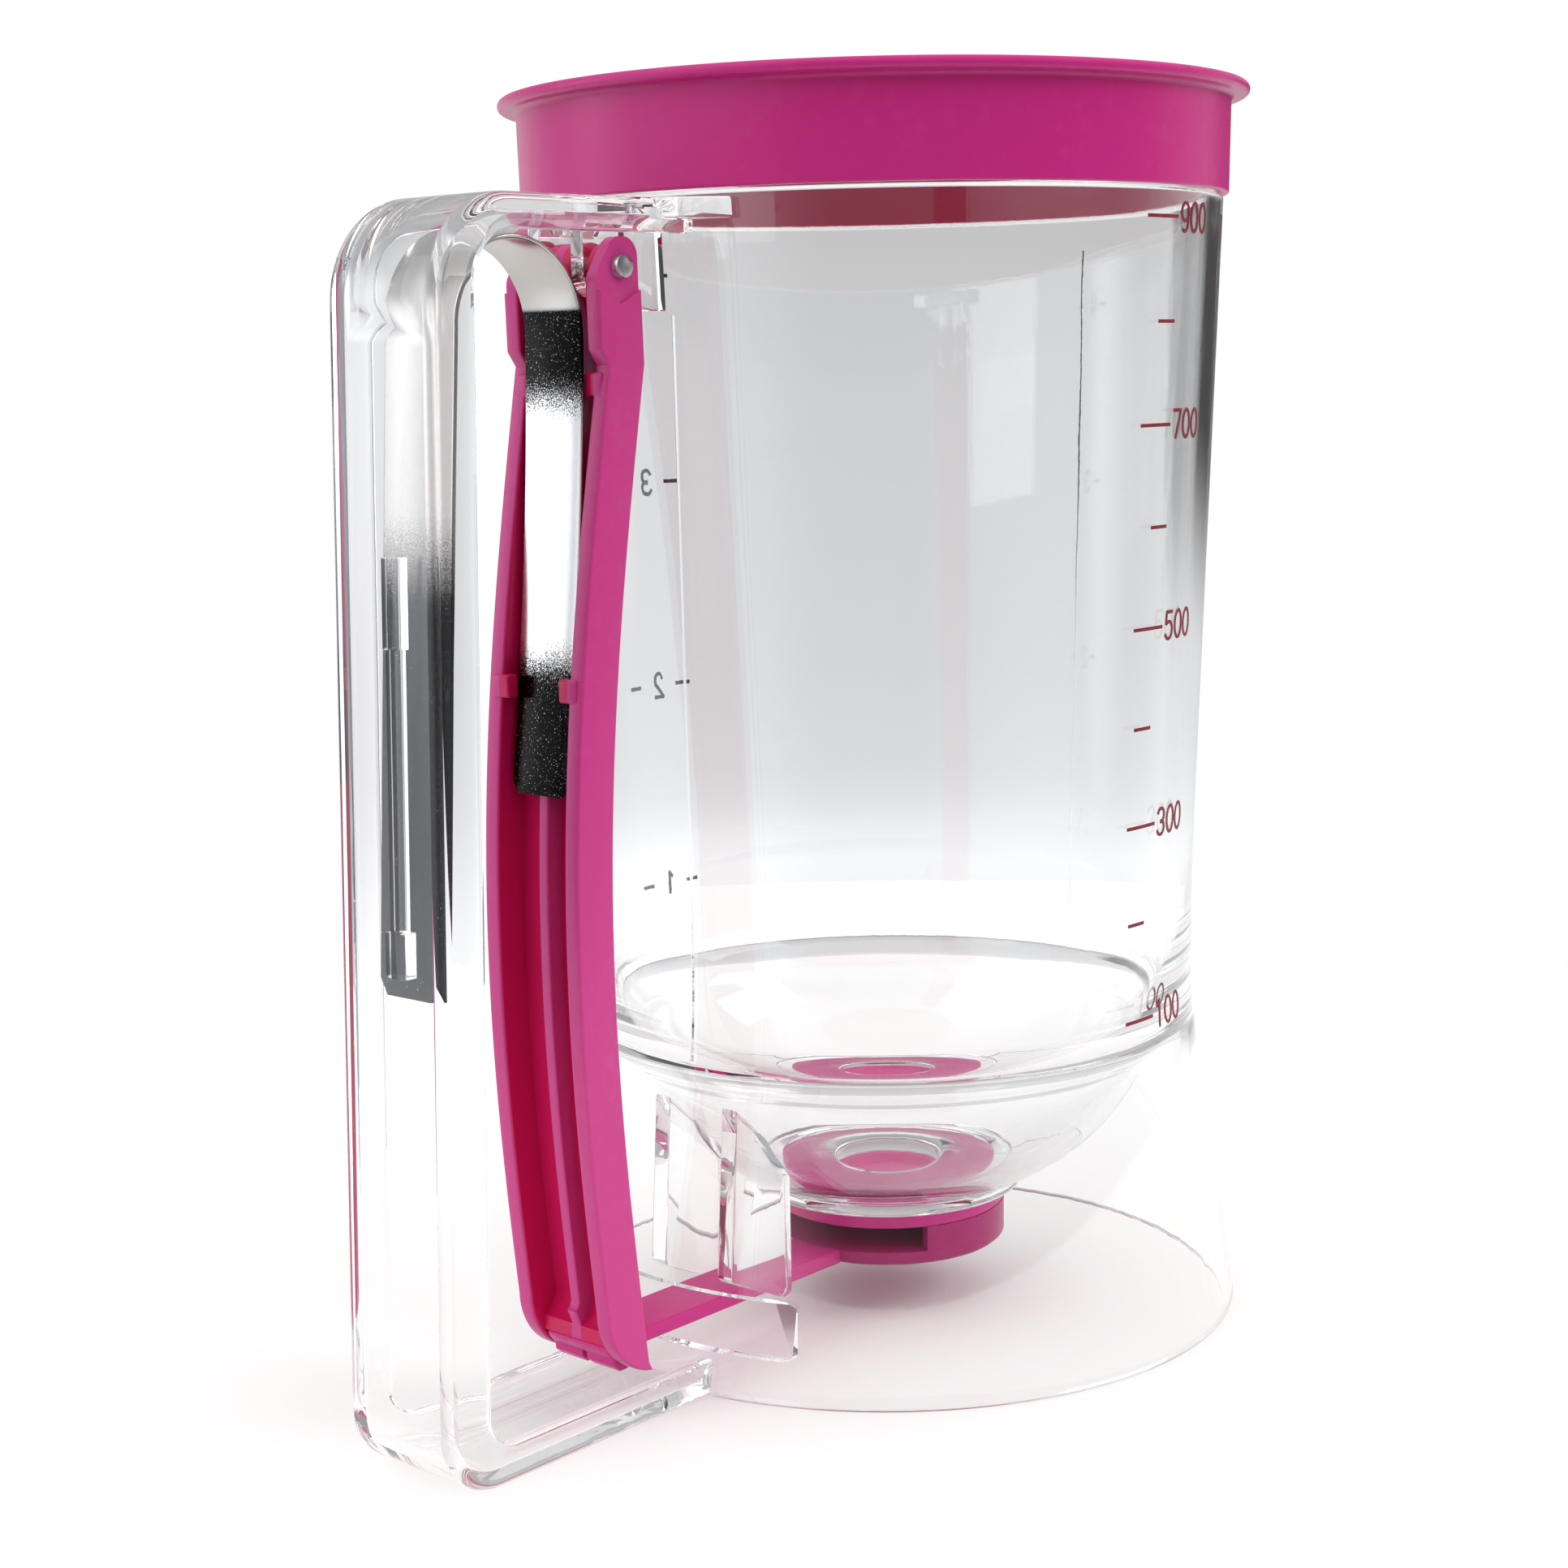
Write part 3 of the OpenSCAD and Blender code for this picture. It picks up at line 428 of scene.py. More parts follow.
def flangeOutline():
    g = lever
    z = np.linspace(g["lowZ"] + 1.6, g["highZ"], 60)
    bodySide = np.column_stack([-leverLine(z), z])
    z = np.linspace(g["highZ"], g["footZ"], 60)
    gripSide = np.column_stack([-leverLine(z) - g["depth"], z])
    backTop, frontTop = np.array([-60.1, 163.8]), np.array([-64.6, 163.8])
    lobe, neck = np.array([-68.1, 158.5]), np.array([-67.9, 149.0])
    footX = gripSide[-1, 0] + g["footR"]
    end = math.degrees(math.acos((g["out"] + g["lean"] + footX) / g["footR"]))
    foot = arcPoints(footX, g["footZ"], g["footR"], g["footR"], 180, 180 + end - 4, 20)
    return np.vstack([bodySide, cornerArc(bodySide[-1], backTop, frontTop, g["earR"], 10),
                      cornerArc(backTop, frontTop, lobe, g["earR"], 10), cornerArc(frontTop, lobe, neck, g["earR"], 8),
                      [neck], gripSide, foot, [foot[-1] + [1.2, -0.25]]])


def webFace(highZ, lift):
    # grip side of the web: down the bowed line, then round into the floor of the foot
    turnZ = lever["floorZ"] + lever["floor"] + lever["turnR"]
    z = np.linspace(highZ, turnZ, 60)
    r = lever["turnR"] - lift
    return np.vstack([np.column_stack([-leverLine(z) - lever["web"] - lift, z]),
                      arcPoints(-leverLine(turnZ) - lever["web"] - lever["turnR"], turnZ, r, r, 0, -68, 12)])


def buildLever():
    g = lever
    near = slab("lever", flangeOutline(), -g["half"], -g["channel"], g["edge"])
    far = slab("flangeFar", flangeOutline(), g["channel"], g["half"], g["edge"])
    face = webFace(g["webTop"], 0)
    z = np.linspace(g["floorZ"] + 1, g["webTop"], 60)
    web = slab("web", np.vstack([face, [[face[-1, 0], g["floorZ"]], [-leverLine(g["floorZ"]), g["floorZ"]]],
                                 np.column_stack([-leverLine(z), z])]), -g["channel"] - 0.6, g["channel"] + 0.6, 0.05)
    ridge = slab("ridge", np.vstack([webFace(g["ridgeTop"], -0.4), webFace(g["ridgeTop"], g["ridgeUp"])[::-1]]),
                 -g["ridgeHalf"], g["ridgeHalf"], 0.3)
    barrel, webX = g["barrelHalf"], -leverLine(g["webTop"])
    parts = [far, web, ridge, rod("bossNear", g["bossR"], -8.0, -5.45), rod("bossFar", g["bossR"], 5.45, 8.0),
             rod("barrel", g["barrelR"], -barrel, barrel),
             slab("neck", [(webX - 0.7, 150.6), (-60.5, hinge["z"]), (-64.4, hinge["z"]), (webX - g["web"], 150.6)],
                  -barrel, barrel, 0.2)]
    # one pair of nubs stands behind the strip near the arch, the other in front of it above its free end
    clear, nub = strip["thick"] / 2 + 0.15, g["nub"]
    backX, backZ = clear - strip["leverX"], 142.9
    leg = stripLine()[:strip["legPoints"]]
    frontZ = strip["archZ"] - strip["leverLeg"] + 13
    frontX = np.interp(frontZ, leg[:, 1], leg[:, 0]) - clear
    for name, x, z in (("nubHigh", backX, backZ), ("nubLow", frontX - 2, frontZ)):
        parts += onBothSides(name, [(x, z, 0.4), (x, z + nub, 0.4), (x + 2, z + nub, 0.4), (x + 2, z, 0.4)],
                             g["nubIn"], g["nubOut"], 0.3, 3)
    joinPieces(near, parts)
    # the ears are 0.7 mm thinner than the flanges; the step between them is a shallow V
    cuts = onBothSides("ear", [(-56, 157.6, 0), (-60.6, 156.7, 0.3), (-63.9, 154.9, 0.5), (-67.2, 156.7, 0.3),
                               (-72, 157.6, 0), (-72, 170, 0), (-56, 170, 0)], g["half"] - g["earCut"], 11, 0.1, 4)
    return joinPieces(near, cuts + [rod("pinHole", hinge["pinR"], -10, 10, 0.02)], "DIFFERENCE")


valve = {"r": 18.4, "discTop": 17.6, "discLow": 15.2, "plateTop": 11.4, "plateLow": 9.2, "bandIn": 16.2, "sunk": 1.0,
         "bandOpen": 58, "postR": 5, "armHalf": 4.7, "headHalf": 6.0, "barbIn": 0.4, "armFrom": -65.1, "armTo": -14}


def buildValveArm():
    v = valve
    half = v["armHalf"]
    arm = slab("valveArm", [(v["armFrom"], -half), (v["armFrom"], half), (v["armTo"], half), (v["armTo"], -half)],
               v["plateLow"], v["plateTop"], 0.35, "z")
    plateR = v["r"] - 0.02
    joinPieces(arm, [turned("plateCut", [(0, 5), (plateR, 5), (plateR, 14), (0, 14)], 128)], "DIFFERENCE")
    outline = roundCorners([(-64.9, v["plateLow"], 0), (-64.9, v["plateTop"], 0), (-70.3, v["plateTop"], 0.5),
                            (-69.5, 10.3, 0.4), (-68.6, v["plateLow"], 0.3)], 4)
    head = slab("head", outline, -v["headHalf"], v["headHalf"], 0.3)
    barbs = onBothSides("barb", [(-65.2, 9.6, 0), (-65.5, 7.1, 0.5), (-67.2, 7.1, 0.5), (-68.4, 8.1, 0.4),
                                 (-68.6, 9.6, 0)], v["barbIn"], v["headHalf"], 0.3, 4)
    return joinPieces(arm, [head] + barbs)


def buildValveCup():
    # a plate, a band on it that is open towards the handle, and a post in the middle
    v = valve
    sunkZ = v["plateTop"] - v["sunk"]
    plate = turned("valveCup", roundCorners([(0, v["plateLow"], 0), (v["r"], v["plateLow"], 1.0),
                                             (v["r"], v["plateTop"], 0.05), (0, v["plateTop"], 0)], 6), 192)
    band = turned("band", roundCorners([(v["bandIn"], sunkZ, 0), (v["r"], sunkZ, 0), (v["r"], v["discLow"], 0.05),
                                        (v["bandIn"], v["discLow"], 0.2)], 4), 192)
    openT = math.radians(v["bandOpen"])
    x, y = -2 * v["r"] * math.cos(openT), 2 * v["r"] * math.sin(openT)
    joinPieces(band, [slab("opening", [(0, 0), (x, y), (-60, y), (-60, -y), (x, -y)], v["plateTop"], 17, 0.02, "z")],
               "DIFFERENCE")
    post = turned("post", roundCorners([(0, sunkZ, 0), (v["postR"], sunkZ, 0), (v["postR"], v["discLow"], 0.02),
                                        (0, v["discLow"], 0)], 3), 64)
    return joinPieces(plate, [band, post])


def buildValveDisc():
    # a disc with a shallow round dip in its top
    v = valve
    dip = v["discTop"] - 1.2
    line = roundCorners([(0, v["discLow"], 0), (v["r"], v["discLow"], 0.3), (v["r"], v["discTop"], 0.6),
                         (7.8, v["discTop"], 0.5), (6.6, dip, 0.8), (0, dip, 0)], 5)
    return turned("valveDisc", line, 192)


lid = {"skirtR": 53.1, "wall": 1.4, "flare": 0.3, "flangeR": 56.1, "low": 170.2, "under": 184.3, "top": 186.0}


def buildLid():
    # one line from the axis: under the top, down inside the skirt, up its outside, round the flange, back over the top
    g = lid
    inner = g["skirtR"] - g["wall"]
    line = roundCorners([(0, g["under"], 0), (inner, g["under"], 1.0), (inner, g["low"], 0.35),
                         (g["skirtR"], g["low"], 0.35), (g["skirtR"] + g["flare"], g["under"], 0.9),
                         (g["flangeR"], g["under"], 0.8), (g["flangeR"], g["top"], 0.85), (0, g["top"], 0)], 8)
    return turned("lidShell", line, 256)


ink = {"stroke": 0.5, "cupStroke": 0.62, "digitH": 3.9, "digitW": 2.3, "digitGap": 0.75, "thick": 0.12, "lift": -0.04}

# every digit as strokes in a box one wide and one high; arcs are (centre x, centre y, x radius, y radius, from, to)
digitShapes = {
    "0": [("arc", 0.5, 0.5, 0.5, 0.5, 90, 450)],
    "1": [("line", 0.2, 0.8, 0.55, 1.0), ("line", 0.55, 1.0, 0.55, 0.0)],
    "2": [("arc", 0.5, 0.7, 0.46, 0.3, 165, -35), ("line", 0.86, 0.53, 0.02, 0.0), ("line", 0.02, 0.0, 0.98, 0.0)],
    "3": [("arc", 0.46, 0.74, 0.42, 0.26, 160, -90), ("arc", 0.46, 0.26, 0.46, 0.26, 90, -160)],
    "4": [("line", 0.72, 0.0, 0.72, 1.0), ("line", 0.72, 1.0, 0.0, 0.3), ("line", 0.0, 0.3, 1.0, 0.3)],
    "5": [("line", 0.9, 1.0, 0.16, 1.0), ("line", 0.16, 1.0, 0.1, 0.56), ("arc", 0.46, 0.32, 0.48, 0.32, 130, -150)],
    "7": [("line", 0.02, 1.0, 0.98, 1.0), ("line", 0.98, 1.0, 0.35, 0.0)],
    "9": [("arc", 0.5, 0.68, 0.46, 0.32, 0, 360), ("line", 0.96, 0.68, 0.9, 0.3),
          ("arc", 0.46, 0.3, 0.44, 0.3, 0, -120)],
}


scales = {"mlFirst": 50.6, "mlStep": 14.41, "longFrom": 86, "longTo": 94, "mlText": 95.2, "shortTurn": 4.3,
          "cupFirst": 60.3, "cupStep": 33.7, "cupDashes": ((-97, -94), (-83, -80)), "cupText": -90.2}


def strokePath(stroke):
    kind, *numbers = stroke
    if kind == "arc":
        return arcPoints(*numbers, 26)
    start, end = np.array(numbers[:2]), np.array(numbers[2:])
    return start + (end - start) * np.linspace(0, 1, 6)[:, None]


def digitPaths(text):
    # the strokes of a number, one digit beside the other, with their middle at the height of the mark
    size, pitch = np.array([ink["digitW"], ink["digitH"]]), ink["digitW"] + ink["digitGap"]
    return [strokePath(stroke) * size + [k * pitch, -ink["digitH"] / 2]
            for k, digit in enumerate(text) for stroke in digitShapes[digit]]


def wallRibbon(path, angle, z0, width):
    # a flat stroke in (along the wall, up) becomes a closed ribbon lying on the wall:
    # its angle is the start angle plus the arc length over the radius, its radius is the wall's plus a little
    along = np.gradient(path, axis=0)
    along /= np.linalg.norm(along, axis=1)[:, None] + 1e-9
    side = np.column_stack([-along[:, 1], along[:, 0]]) * width / 2
    path = path.copy()
    path[0] -= along[0] * width * 0.3
    path[-1] += along[-1] * width * 0.3
    rows = []
    for sign, up in ((1, 0), (1, 1), (-1, 1), (-1, 0)):
        p = path + side * sign
        r = hopperR(z0 + p[:, 1]) + ink["lift"] + up * ink["thick"]
        a = np.radians(angle) + p[:, 0] / r
        rows.append(np.column_stack([r * np.cos(a), r * np.sin(a), z0 + p[:, 1]]))
    return np.stack(rows, 1).reshape(-1, 3)


def buildScale(name, marks, width):
    # each mark is (text, height, start angle, end angle), with no text for a dash
    points, faces = [], []
    for text, z, start, end in marks:
        length = math.radians(end - start) * hopperR(z)
        dash = np.column_stack([np.linspace(0, length, 9), np.zeros(9)])
        for path in digitPaths(text) if text else [dash]:
            base = sum(len(p) for p in points)
            faces += [[base + k for k in f] for f in tubeFaces(len(path), 4)]
            points.append(wallRibbon(path, start, z, width))
    return makePiece(name, np.vstack(points), faces, 40)


def mlMarks():
    # long marks with numbers at odd hundreds and short ones between; angles run from +x, so 180 is the handle
    s, marks = scales, []
    for k in range(9):
        z = s["mlFirst"] + s["mlStep"] * k
        start, end = s["longFrom"], s["longTo"]
        if k % 2 == 0:
            marks.append((str(k + 1) + "00", z, 180 + s["mlText"], 0))
        else:
            start = end - s["shortTurn"] if k > 4 else start + 1
            end = start + s["shortTurn"]
        marks.append(("", z, 180 + start, 180 + end))
    return marks


def cupMarks():
    s, marks = scales, []
    for k in range(4):
        z = s["cupFirst"] + s["cupStep"] * k
        marks += [("", z, 180 + start, 180 + end) for start, end in s["cupDashes"]]
        marks.append((str(k + 1), z, 180 + s["cupText"], 0))
    return marks


def feed(tree, socket, value):
    # an input takes a value, or a link from another node's output
    if isinstance(value, bpy.types.NodeSocket):
        tree.links.new(value, socket)
    else:
        socket.default_value = value


def setNode(tree, node, **values):
    # a setting of the node is set on it; any other name is that of an input, with _ for a space
    for key, value in values.items():
        if hasattr(node, key):
            setattr(node, key, value)
        else:
            feed(tree, node.inputs[key.replace("_", " ")], value)
    return node


def addNode(tree, kind, **values):
    return setNode(tree, tree.nodes.new("ShaderNode" + kind), **values)


def maths(tree, operation, *values):
    node = addNode(tree, "Math", operation=operation)
    for socket, value in zip(node.inputs, values):
        feed(tree, socket, value)
    return node.outputs[0]


def spread(tree, value, low, high, start=0.0, end=1.0, smooth=False):
    # a value between low and high becomes one between start and end, and stops there
    return addNode(tree, "MapRange", interpolation_type="SMOOTHSTEP" if smooth else "LINEAR", Value=value,
                   From_Min=low, From_Max=high, To_Min=start, To_Max=end).outputs[0]


def noise(tree, place, scale, detail, roughness=0.5):
    return addNode(tree, "TexNoise", Vector=place, Scale=scale, Detail=detail, Roughness=roughness).outputs["Fac"]


def part(tree, vector, letter):
    return addNode(tree, "SeparateXYZ", Vector=vector).outputs[letter]


def scaled(tree, vector, factor):
    return addNode(tree, "VectorMath", operation="SCALE", Vector=vector, Scale=factor).outputs[0]


def mixColour(tree, mask, first, second):
    # the first colour where the mask is 0 and the second where it is 1
    first, second = ((*c, 1) if isinstance(c, tuple) else c for c in (first, second))
    return addNode(tree, "Mix", data_type="RGBA", Factor=mask, A=first, B=second).outputs["Result"]


def newGroup(name, numbers, outputs):
    # a group that takes a vector and some numbers, and gives numbers
    group = bpy.data.node_groups.new(name, "ShaderNodeTree")
    group.interface.new_socket(name="Vector", in_out="INPUT", socket_type="NodeSocketVector")
    for label, value in numbers.items():
        group.interface.new_socket(name=label, in_out="INPUT", socket_type="NodeSocketFloat").default_value = value
    for label in outputs:
        group.interface.new_socket(name=label, in_out="OUTPUT", socket_type="NodeSocketFloat")
    return group, group.nodes.new("NodeGroupInput").outputs, group.nodes.new("NodeGroupOutput")


def speckGroup():
    # fine noise against a threshold gives specks; broad noise gives a slow change of tone
    group, give, take = newGroup("fineSpecks", {"Size": 900.0, "Amount": 0.5}, ["Specks", "Tone"])
    fine = noise(group, give["Vector"], give["Size"], 3.0, 0.6)
    specks = maths(group, "GREATER_THAN", fine, maths(group, "SUBTRACT", 1.0, give["Amount"]))
    setNode(group, take, Specks=specks, Tone=noise(group, give["Vector"], 38.0, 2.0))
    return group


def flowGroup():
    # stretched noise stands for the flow of the melt; it varies gloss and lifts the surface by a hair
    group, give, take = newGroup("mouldFlow", {"Low": 0.1, "High": 0.2}, ["Gloss", "Height"])
    stretched = addNode(group, "Mapping", Vector=give["Vector"], Scale=(1, 1, 0.22)).outputs[0]
    flow = noise(group, stretched, 70.0, 3.0, 0.55)
    fine = noise(group, give["Vector"], 620.0, 2.0)
    setNode(group, take, Gloss=spread(group, flow, 0.0, 1.0, give["Low"], give["High"]),
            Height=maths(group, "MULTIPLY_ADD", fine, 0.03, flow))
    return group


def wearGroup():
    # pale rubs where broad and fine noise meet above a threshold
    group, give, take = newGroup("handlingWear", {"Amount": 0.5}, ["Mask"])
    broad, fine = noise(group, give["Vector"], 24.0, 4.0, 0.7), noise(group, give["Vector"], 420.0, 3.0, 0.7)
    rubs = spread(group, maths(group, "MULTIPLY", broad, fine), 0.27, 0.42)
    setNode(group, take, Mask=maths(group, "MULTIPLY", rubs, give["Amount"]))
    return group


groups = {"specks": speckGroup(), "flow": flowGroup(), "wear": wearGroup()}


def startMaterial(name):
    material = bpy.data.materials.new(name)
    material.use_nodes = True
    tree = material.node_tree
    return material, tree, tree.nodes["Principled BSDF"], tree.nodes.new("ShaderNodeTexCoord").outputs["Object"]


def placeGroup(tree, name, place, **values):
    return addNode(tree, "Group", node_tree=groups[name], Vector=place, **values).outputs


def addBump(tree, shader, height, distance, strength=1.0):
    bump = addNode(tree, "Bump", Height=height, Distance=distance, Strength=strength)
    setNode(tree, shader, Normal=bump.outputs[0])


def clearFinish():
    material, tree, shader, place = startMaterial("clearPlastic")
    flow = placeGroup(tree, "flow", place, Low=0.003, High=0.016)
    wear = placeGroup(tree, "wear", place, Amount=0.5)
    setNode(tree, shader, Base_Color=mixColour(tree, wear["Mask"], (0.995, 0.998, 0.997), (0.975, 0.98, 0.98)),
            Roughness=flow["Gloss"], Transmission_Weight=1.0, IOR=1.5)
    addBump(tree, shader, flow["Height"], 0.00004)
    # lamps and bounced light pass straight through, so what stands inside is lit and the table shows no hard shadow;
    # a ray bent more than ten times goes straight on, because light trapped in a wall would otherwise end black
    rays = tree.nodes.new("ShaderNodeLightPath").outputs
    lampRay = maths(tree, "MAXIMUM", rays["Is Shadow Ray"], rays["Is Diffuse Ray"])
    passes = maths(tree, "MAXIMUM", lampRay, maths(tree, "GREATER_THAN", rays["Ray Depth"], 10.0))
    thin = addNode(tree, "BsdfTransparent", Color=(0.94, 0.94, 0.94, 1))
    choose = tree.nodes.new("ShaderNodeMixShader")
    for socket, source in zip(choose.inputs, (passes, shader.outputs[0], thin.outputs[0])):
        feed(tree, socket, source)
    setNode(tree, tree.nodes["Material Output"], Surface=choose.outputs[0])
    return material


def pinkFinish(name, deep=None, tones=((0.57, 0.02, 0.215), (0.61, 0.05, 0.255))):
    # painted shade: a mask can turn the colour to a deep crimson where shade falls, inside the lever's channel and
    # under the lid
    material, tree, shader, place = startMaterial(name)
    flow = placeGroup(tree, "flow", place, Low=0.24, High=0.36)
    wear = placeGroup(tree, "wear", place, Amount=0.35)
    colour = mixColour(tree, wear["Mask"], *tones)
    if deep:
        colour = mixColour(tree, deep(tree, place), colour, (0.58, 0.006, 0.092))
    setNode(tree, shader, Base_Color=colour, Roughness=flow["Gloss"], Specular_IOR_Level=0.36,
            Subsurface_Weight=0.08, Subsurface_Radius=(0.004, 0.0006, 0.0018))
    addBump(tree, shader, flow["Height"], 0.00012)
    return material


def paintedChannelShade(tree, place):
    # painted shade in the lever's channel: 1 where the distance from the middle plane is under the channel's half
    # width, but not on the narrow ridge
    size = maths(tree, "ABSOLUTE", part(tree, place, "Y"))
    inside = spread(tree, size, (lever["channel"] + 0.25) * mm, (lever["channel"] + 0.05) * mm)
    return maths(tree, "MULTIPLY", inside, maths(tree, "GREATER_THAN", size, (lever["ridgeHalf"] + 0.03) * mm))


def paintedSkirtShade(tree, place):
    # painted shade under the lid: 1 below the lid's top, where the distance from the hopper axis is under the middle of
    # the skirt's wall
    centred = addNode(tree, "Mapping", Vector=place, Location=(-axisOffset * mm, 0, 0), Scale=(1, 1, 0)).outputs[0]
    length = addNode(tree, "VectorMath", operation="LENGTH", Vector=centred).outputs["Value"]
    inner = spread(tree, length, (lid["skirtR"] - 0.4) * mm, (lid["skirtR"] - 0.8) * mm)
    return maths(tree, "MULTIPLY", inner, maths(tree, "LESS_THAN", part(tree, place, "Z"), (lid["under"] + 0.5) * mm))


def stripFinishPaintedReflection():
    # bright spring steel; bands of painted dark reflection, broken up into specks, lie near the arch and near the free
    # end
    material, tree, shader, place = startMaterial("springSteelPaintedReflection")
    specks = placeGroup(tree, "specks", place, Size=4600.0, Amount=0.335)["Specks"]
    flow = placeGroup(tree, "flow", place, Low=0.16, High=0.26)
    height = part(tree, place, "Z")
    # noise moves the height before it meets a limit, so the edge of a band is ragged
    shift = 16 * mm
    ragged = maths(tree, "MULTIPLY_ADD", noise(tree, place, 5200.0, 2.0, 0.7), shift, height)

    def above(low, high):
        return spread(tree, ragged, low * mm + shift / 2, high * mm + shift / 2)

    def both(first, second):
        return maths(tree, "MULTIPLY", first, second)

    def either(first, second):
        return maths(tree, "MAXIMUM", first, second)

    def flip(value):
        return maths(tree, "SUBTRACT", 1.0, value)

    # on the lever's side the painted dark reflection lies between two heights and again near the end; on the handle's
    # below one height
    handleSide = spread(tree, part(tree, place, "X"), (axisOffset - 79.0) * mm, (axisOffset - 80.0) * mm)
    arch = spread(tree, height, 154.2 * mm, 154.9 * mm)
    upper, lower = both(above(140.5, 143.5), flip(arch)), flip(above(106.5, 109.5))
    leverSide = both(either(upper, lower), flip(handleSide))
    dark = both(either(leverSide, both(flip(above(118.0, 128.0)), handleSide)), flip(both(specks, 0.6)))
    # painted reflection: the arch and the handle leg get a half-bright steel tone, the rest a bright one
    bright = mixColour(tree, either(arch, handleSide), (0.92, 0.915, 0.905), (0.5, 0.475, 0.45))
    setNode(tree, shader, Base_Color=mixColour(tree, dark, bright, (0.007, 0.006, 0.006)), Metallic=1.0,
            Roughness=flow["Gloss"])
    addBump(tree, shader, specks, 0.00001, 0.4)
    return material


def pinFinish():
    material, tree, shader, place = startMaterial("pinSteel")
    specks = placeGroup(tree, "specks", place, Size=1500.0, Amount=0.42)
    flow = placeGroup(tree, "flow", place, Low=0.22, High=0.4)
    setNode(tree, shader, Base_Color=mixColour(tree, specks["Specks"], (0.56, 0.55, 0.54), (0.4, 0.39, 0.38)),
            Metallic=1.0, Roughness=flow["Gloss"])
    addBump(tree, shader, flow["Height"], 0.00008)
    return material


def inkFinish(name, dark, light):
    material, tree, shader, place = startMaterial(name)
    specks = placeGroup(tree, "specks", place, Size=1800.0, Amount=0.4)
    flow = placeGroup(tree, "flow", place, Low=0.4, High=0.6)
    setNode(tree, shader, Base_Color=mixColour(tree, specks["Specks"], dark, light), Roughness=flow["Gloss"])
    addBump(tree, shader, specks["Tone"], 0.00005)
    return material


def finishPiece(piece, material, body, slot, *nodes):
    piece.data.materials.clear()
    piece.data.materials.append(material)
    if body:
        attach(piece, body)
    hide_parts(*nodes)


print("surfaces: clear moulding")
finishPiece(buildMoulding(), clearFinish(), "container", "clear_plastic", "hopper", "hopper_rim", "funnel",
            "outlet_boss", "stand", "guide_plate_left", "guide_plate_right", "rim_collar", "hinge_bracket",
            "handle_top_arm", "handle_grip", "handle_foot_arm", "spring_rib")
print("surfaces: lever, valve, lid, steel")
# painted light and shade: the lever gets a lighter copy of the pink than the other pink parts, and painted shade in its
# channel
leverPinkPaintedLightAndShade = pinkFinish("hotPinkLeverPaintedLightAndShade", paintedChannelShade, ((0.58, 0.045, 0.24), (0.63, 0.08, 0.285)))
# painted shade: the cup gets a darker copy of the pink, for the shade it lies in under the bowl
cupPinkPaintedShade = pinkFinish("hotPinkCupPaintedShade", None, ((0.37, 0.008, 0.125), (0.42, 0.03, 0.16)))
valvePink = pinkFinish("hotPinkValve")
finishPiece(buildLever(), leverPinkPaintedLightAndShade, "trigger", "pink_plastic", "lever", "lever_rib")
finishPiece(buildValveArm(), valvePink, "trigger", "pink_plastic", "valve_arm")
finishPiece(buildValveCup(), cupPinkPaintedShade, "trigger", "pink_plastic", "valve_cup")
finishPiece(buildValveDisc(), valvePink, "trigger", "pink_plastic", "valve_disc")
# painted shade: the inside of the lid's skirt is deep crimson
finishPiece(buildLid(), pinkFinish("hotPinkLidPaintedShade", paintedSkirtShade), "lid", "pink_plastic", "lid_top", "lid_skirt")
finishPiece(buildPin(), pinFinish(), "trigger", "pin_steel", "hinge_pin")
springStrip = buildStrip()
finishPiece(springStrip, stripFinishPaintedReflection(), None, "spring_steel", "leaf_spring")
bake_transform(springStrip)
print("surfaces: printed scales")
redInk = inkFinish("redInk", (0.19, 0.008, 0.014), (0.26, 0.02, 0.03))
blackInk = inkFinish("blackInk", (0.012, 0.012, 0.014), (0.03, 0.03, 0.033))
finishPiece(buildScale("mlMarks", mlMarks(), ink["stroke"]), redInk, "container", "red_print", "scale_ml")
finishPiece(buildScale("cupMarks", cupMarks(), ink["cupStroke"]), blackInk, "container", "black_print", "scale_cups")


# compass angles in degrees from +x, the camera's place and the floor in mm
studio = {"camera": (-295.6, -261.7, 146.9), "aim": (0.749, 0.6626), "lens": 61.258, "sensor": 36, "tilt": 8.982,
          "roll": 1.215, "wall": 41.5, "window": 132.0, "sheen": 115.0, "upright": 12.0,
          "floorR": 268, "floorDrop": 0.02}


def buildFloor():
    # a disc as a grid of radius and angle; its edge lies beyond the object as a table's edge does
    r = np.linspace(0.001, 1, 24)[:, None] ** 1.5 * studio["floorR"]
    a = np.linspace(0, 2 * np.pi, 96, endpoint=False)
    grid = np.stack([r * np.cos(a), r * np.sin(a), np.full((24, 96), -studio["floorDrop"])], -1)
    floor = addMesh("floor", grid.reshape(-1, 3), gridFaces(24, 96) + [list(range(96))[::-1]])
    material, tree, shader, place = startMaterial("paleTable")
    setNode(tree, shader, Base_Color=(0.885, 0.885, 0.88, 1), Roughness=0.85, Specular_IOR_Level=0.2)
    floor.data.materials.append(material)


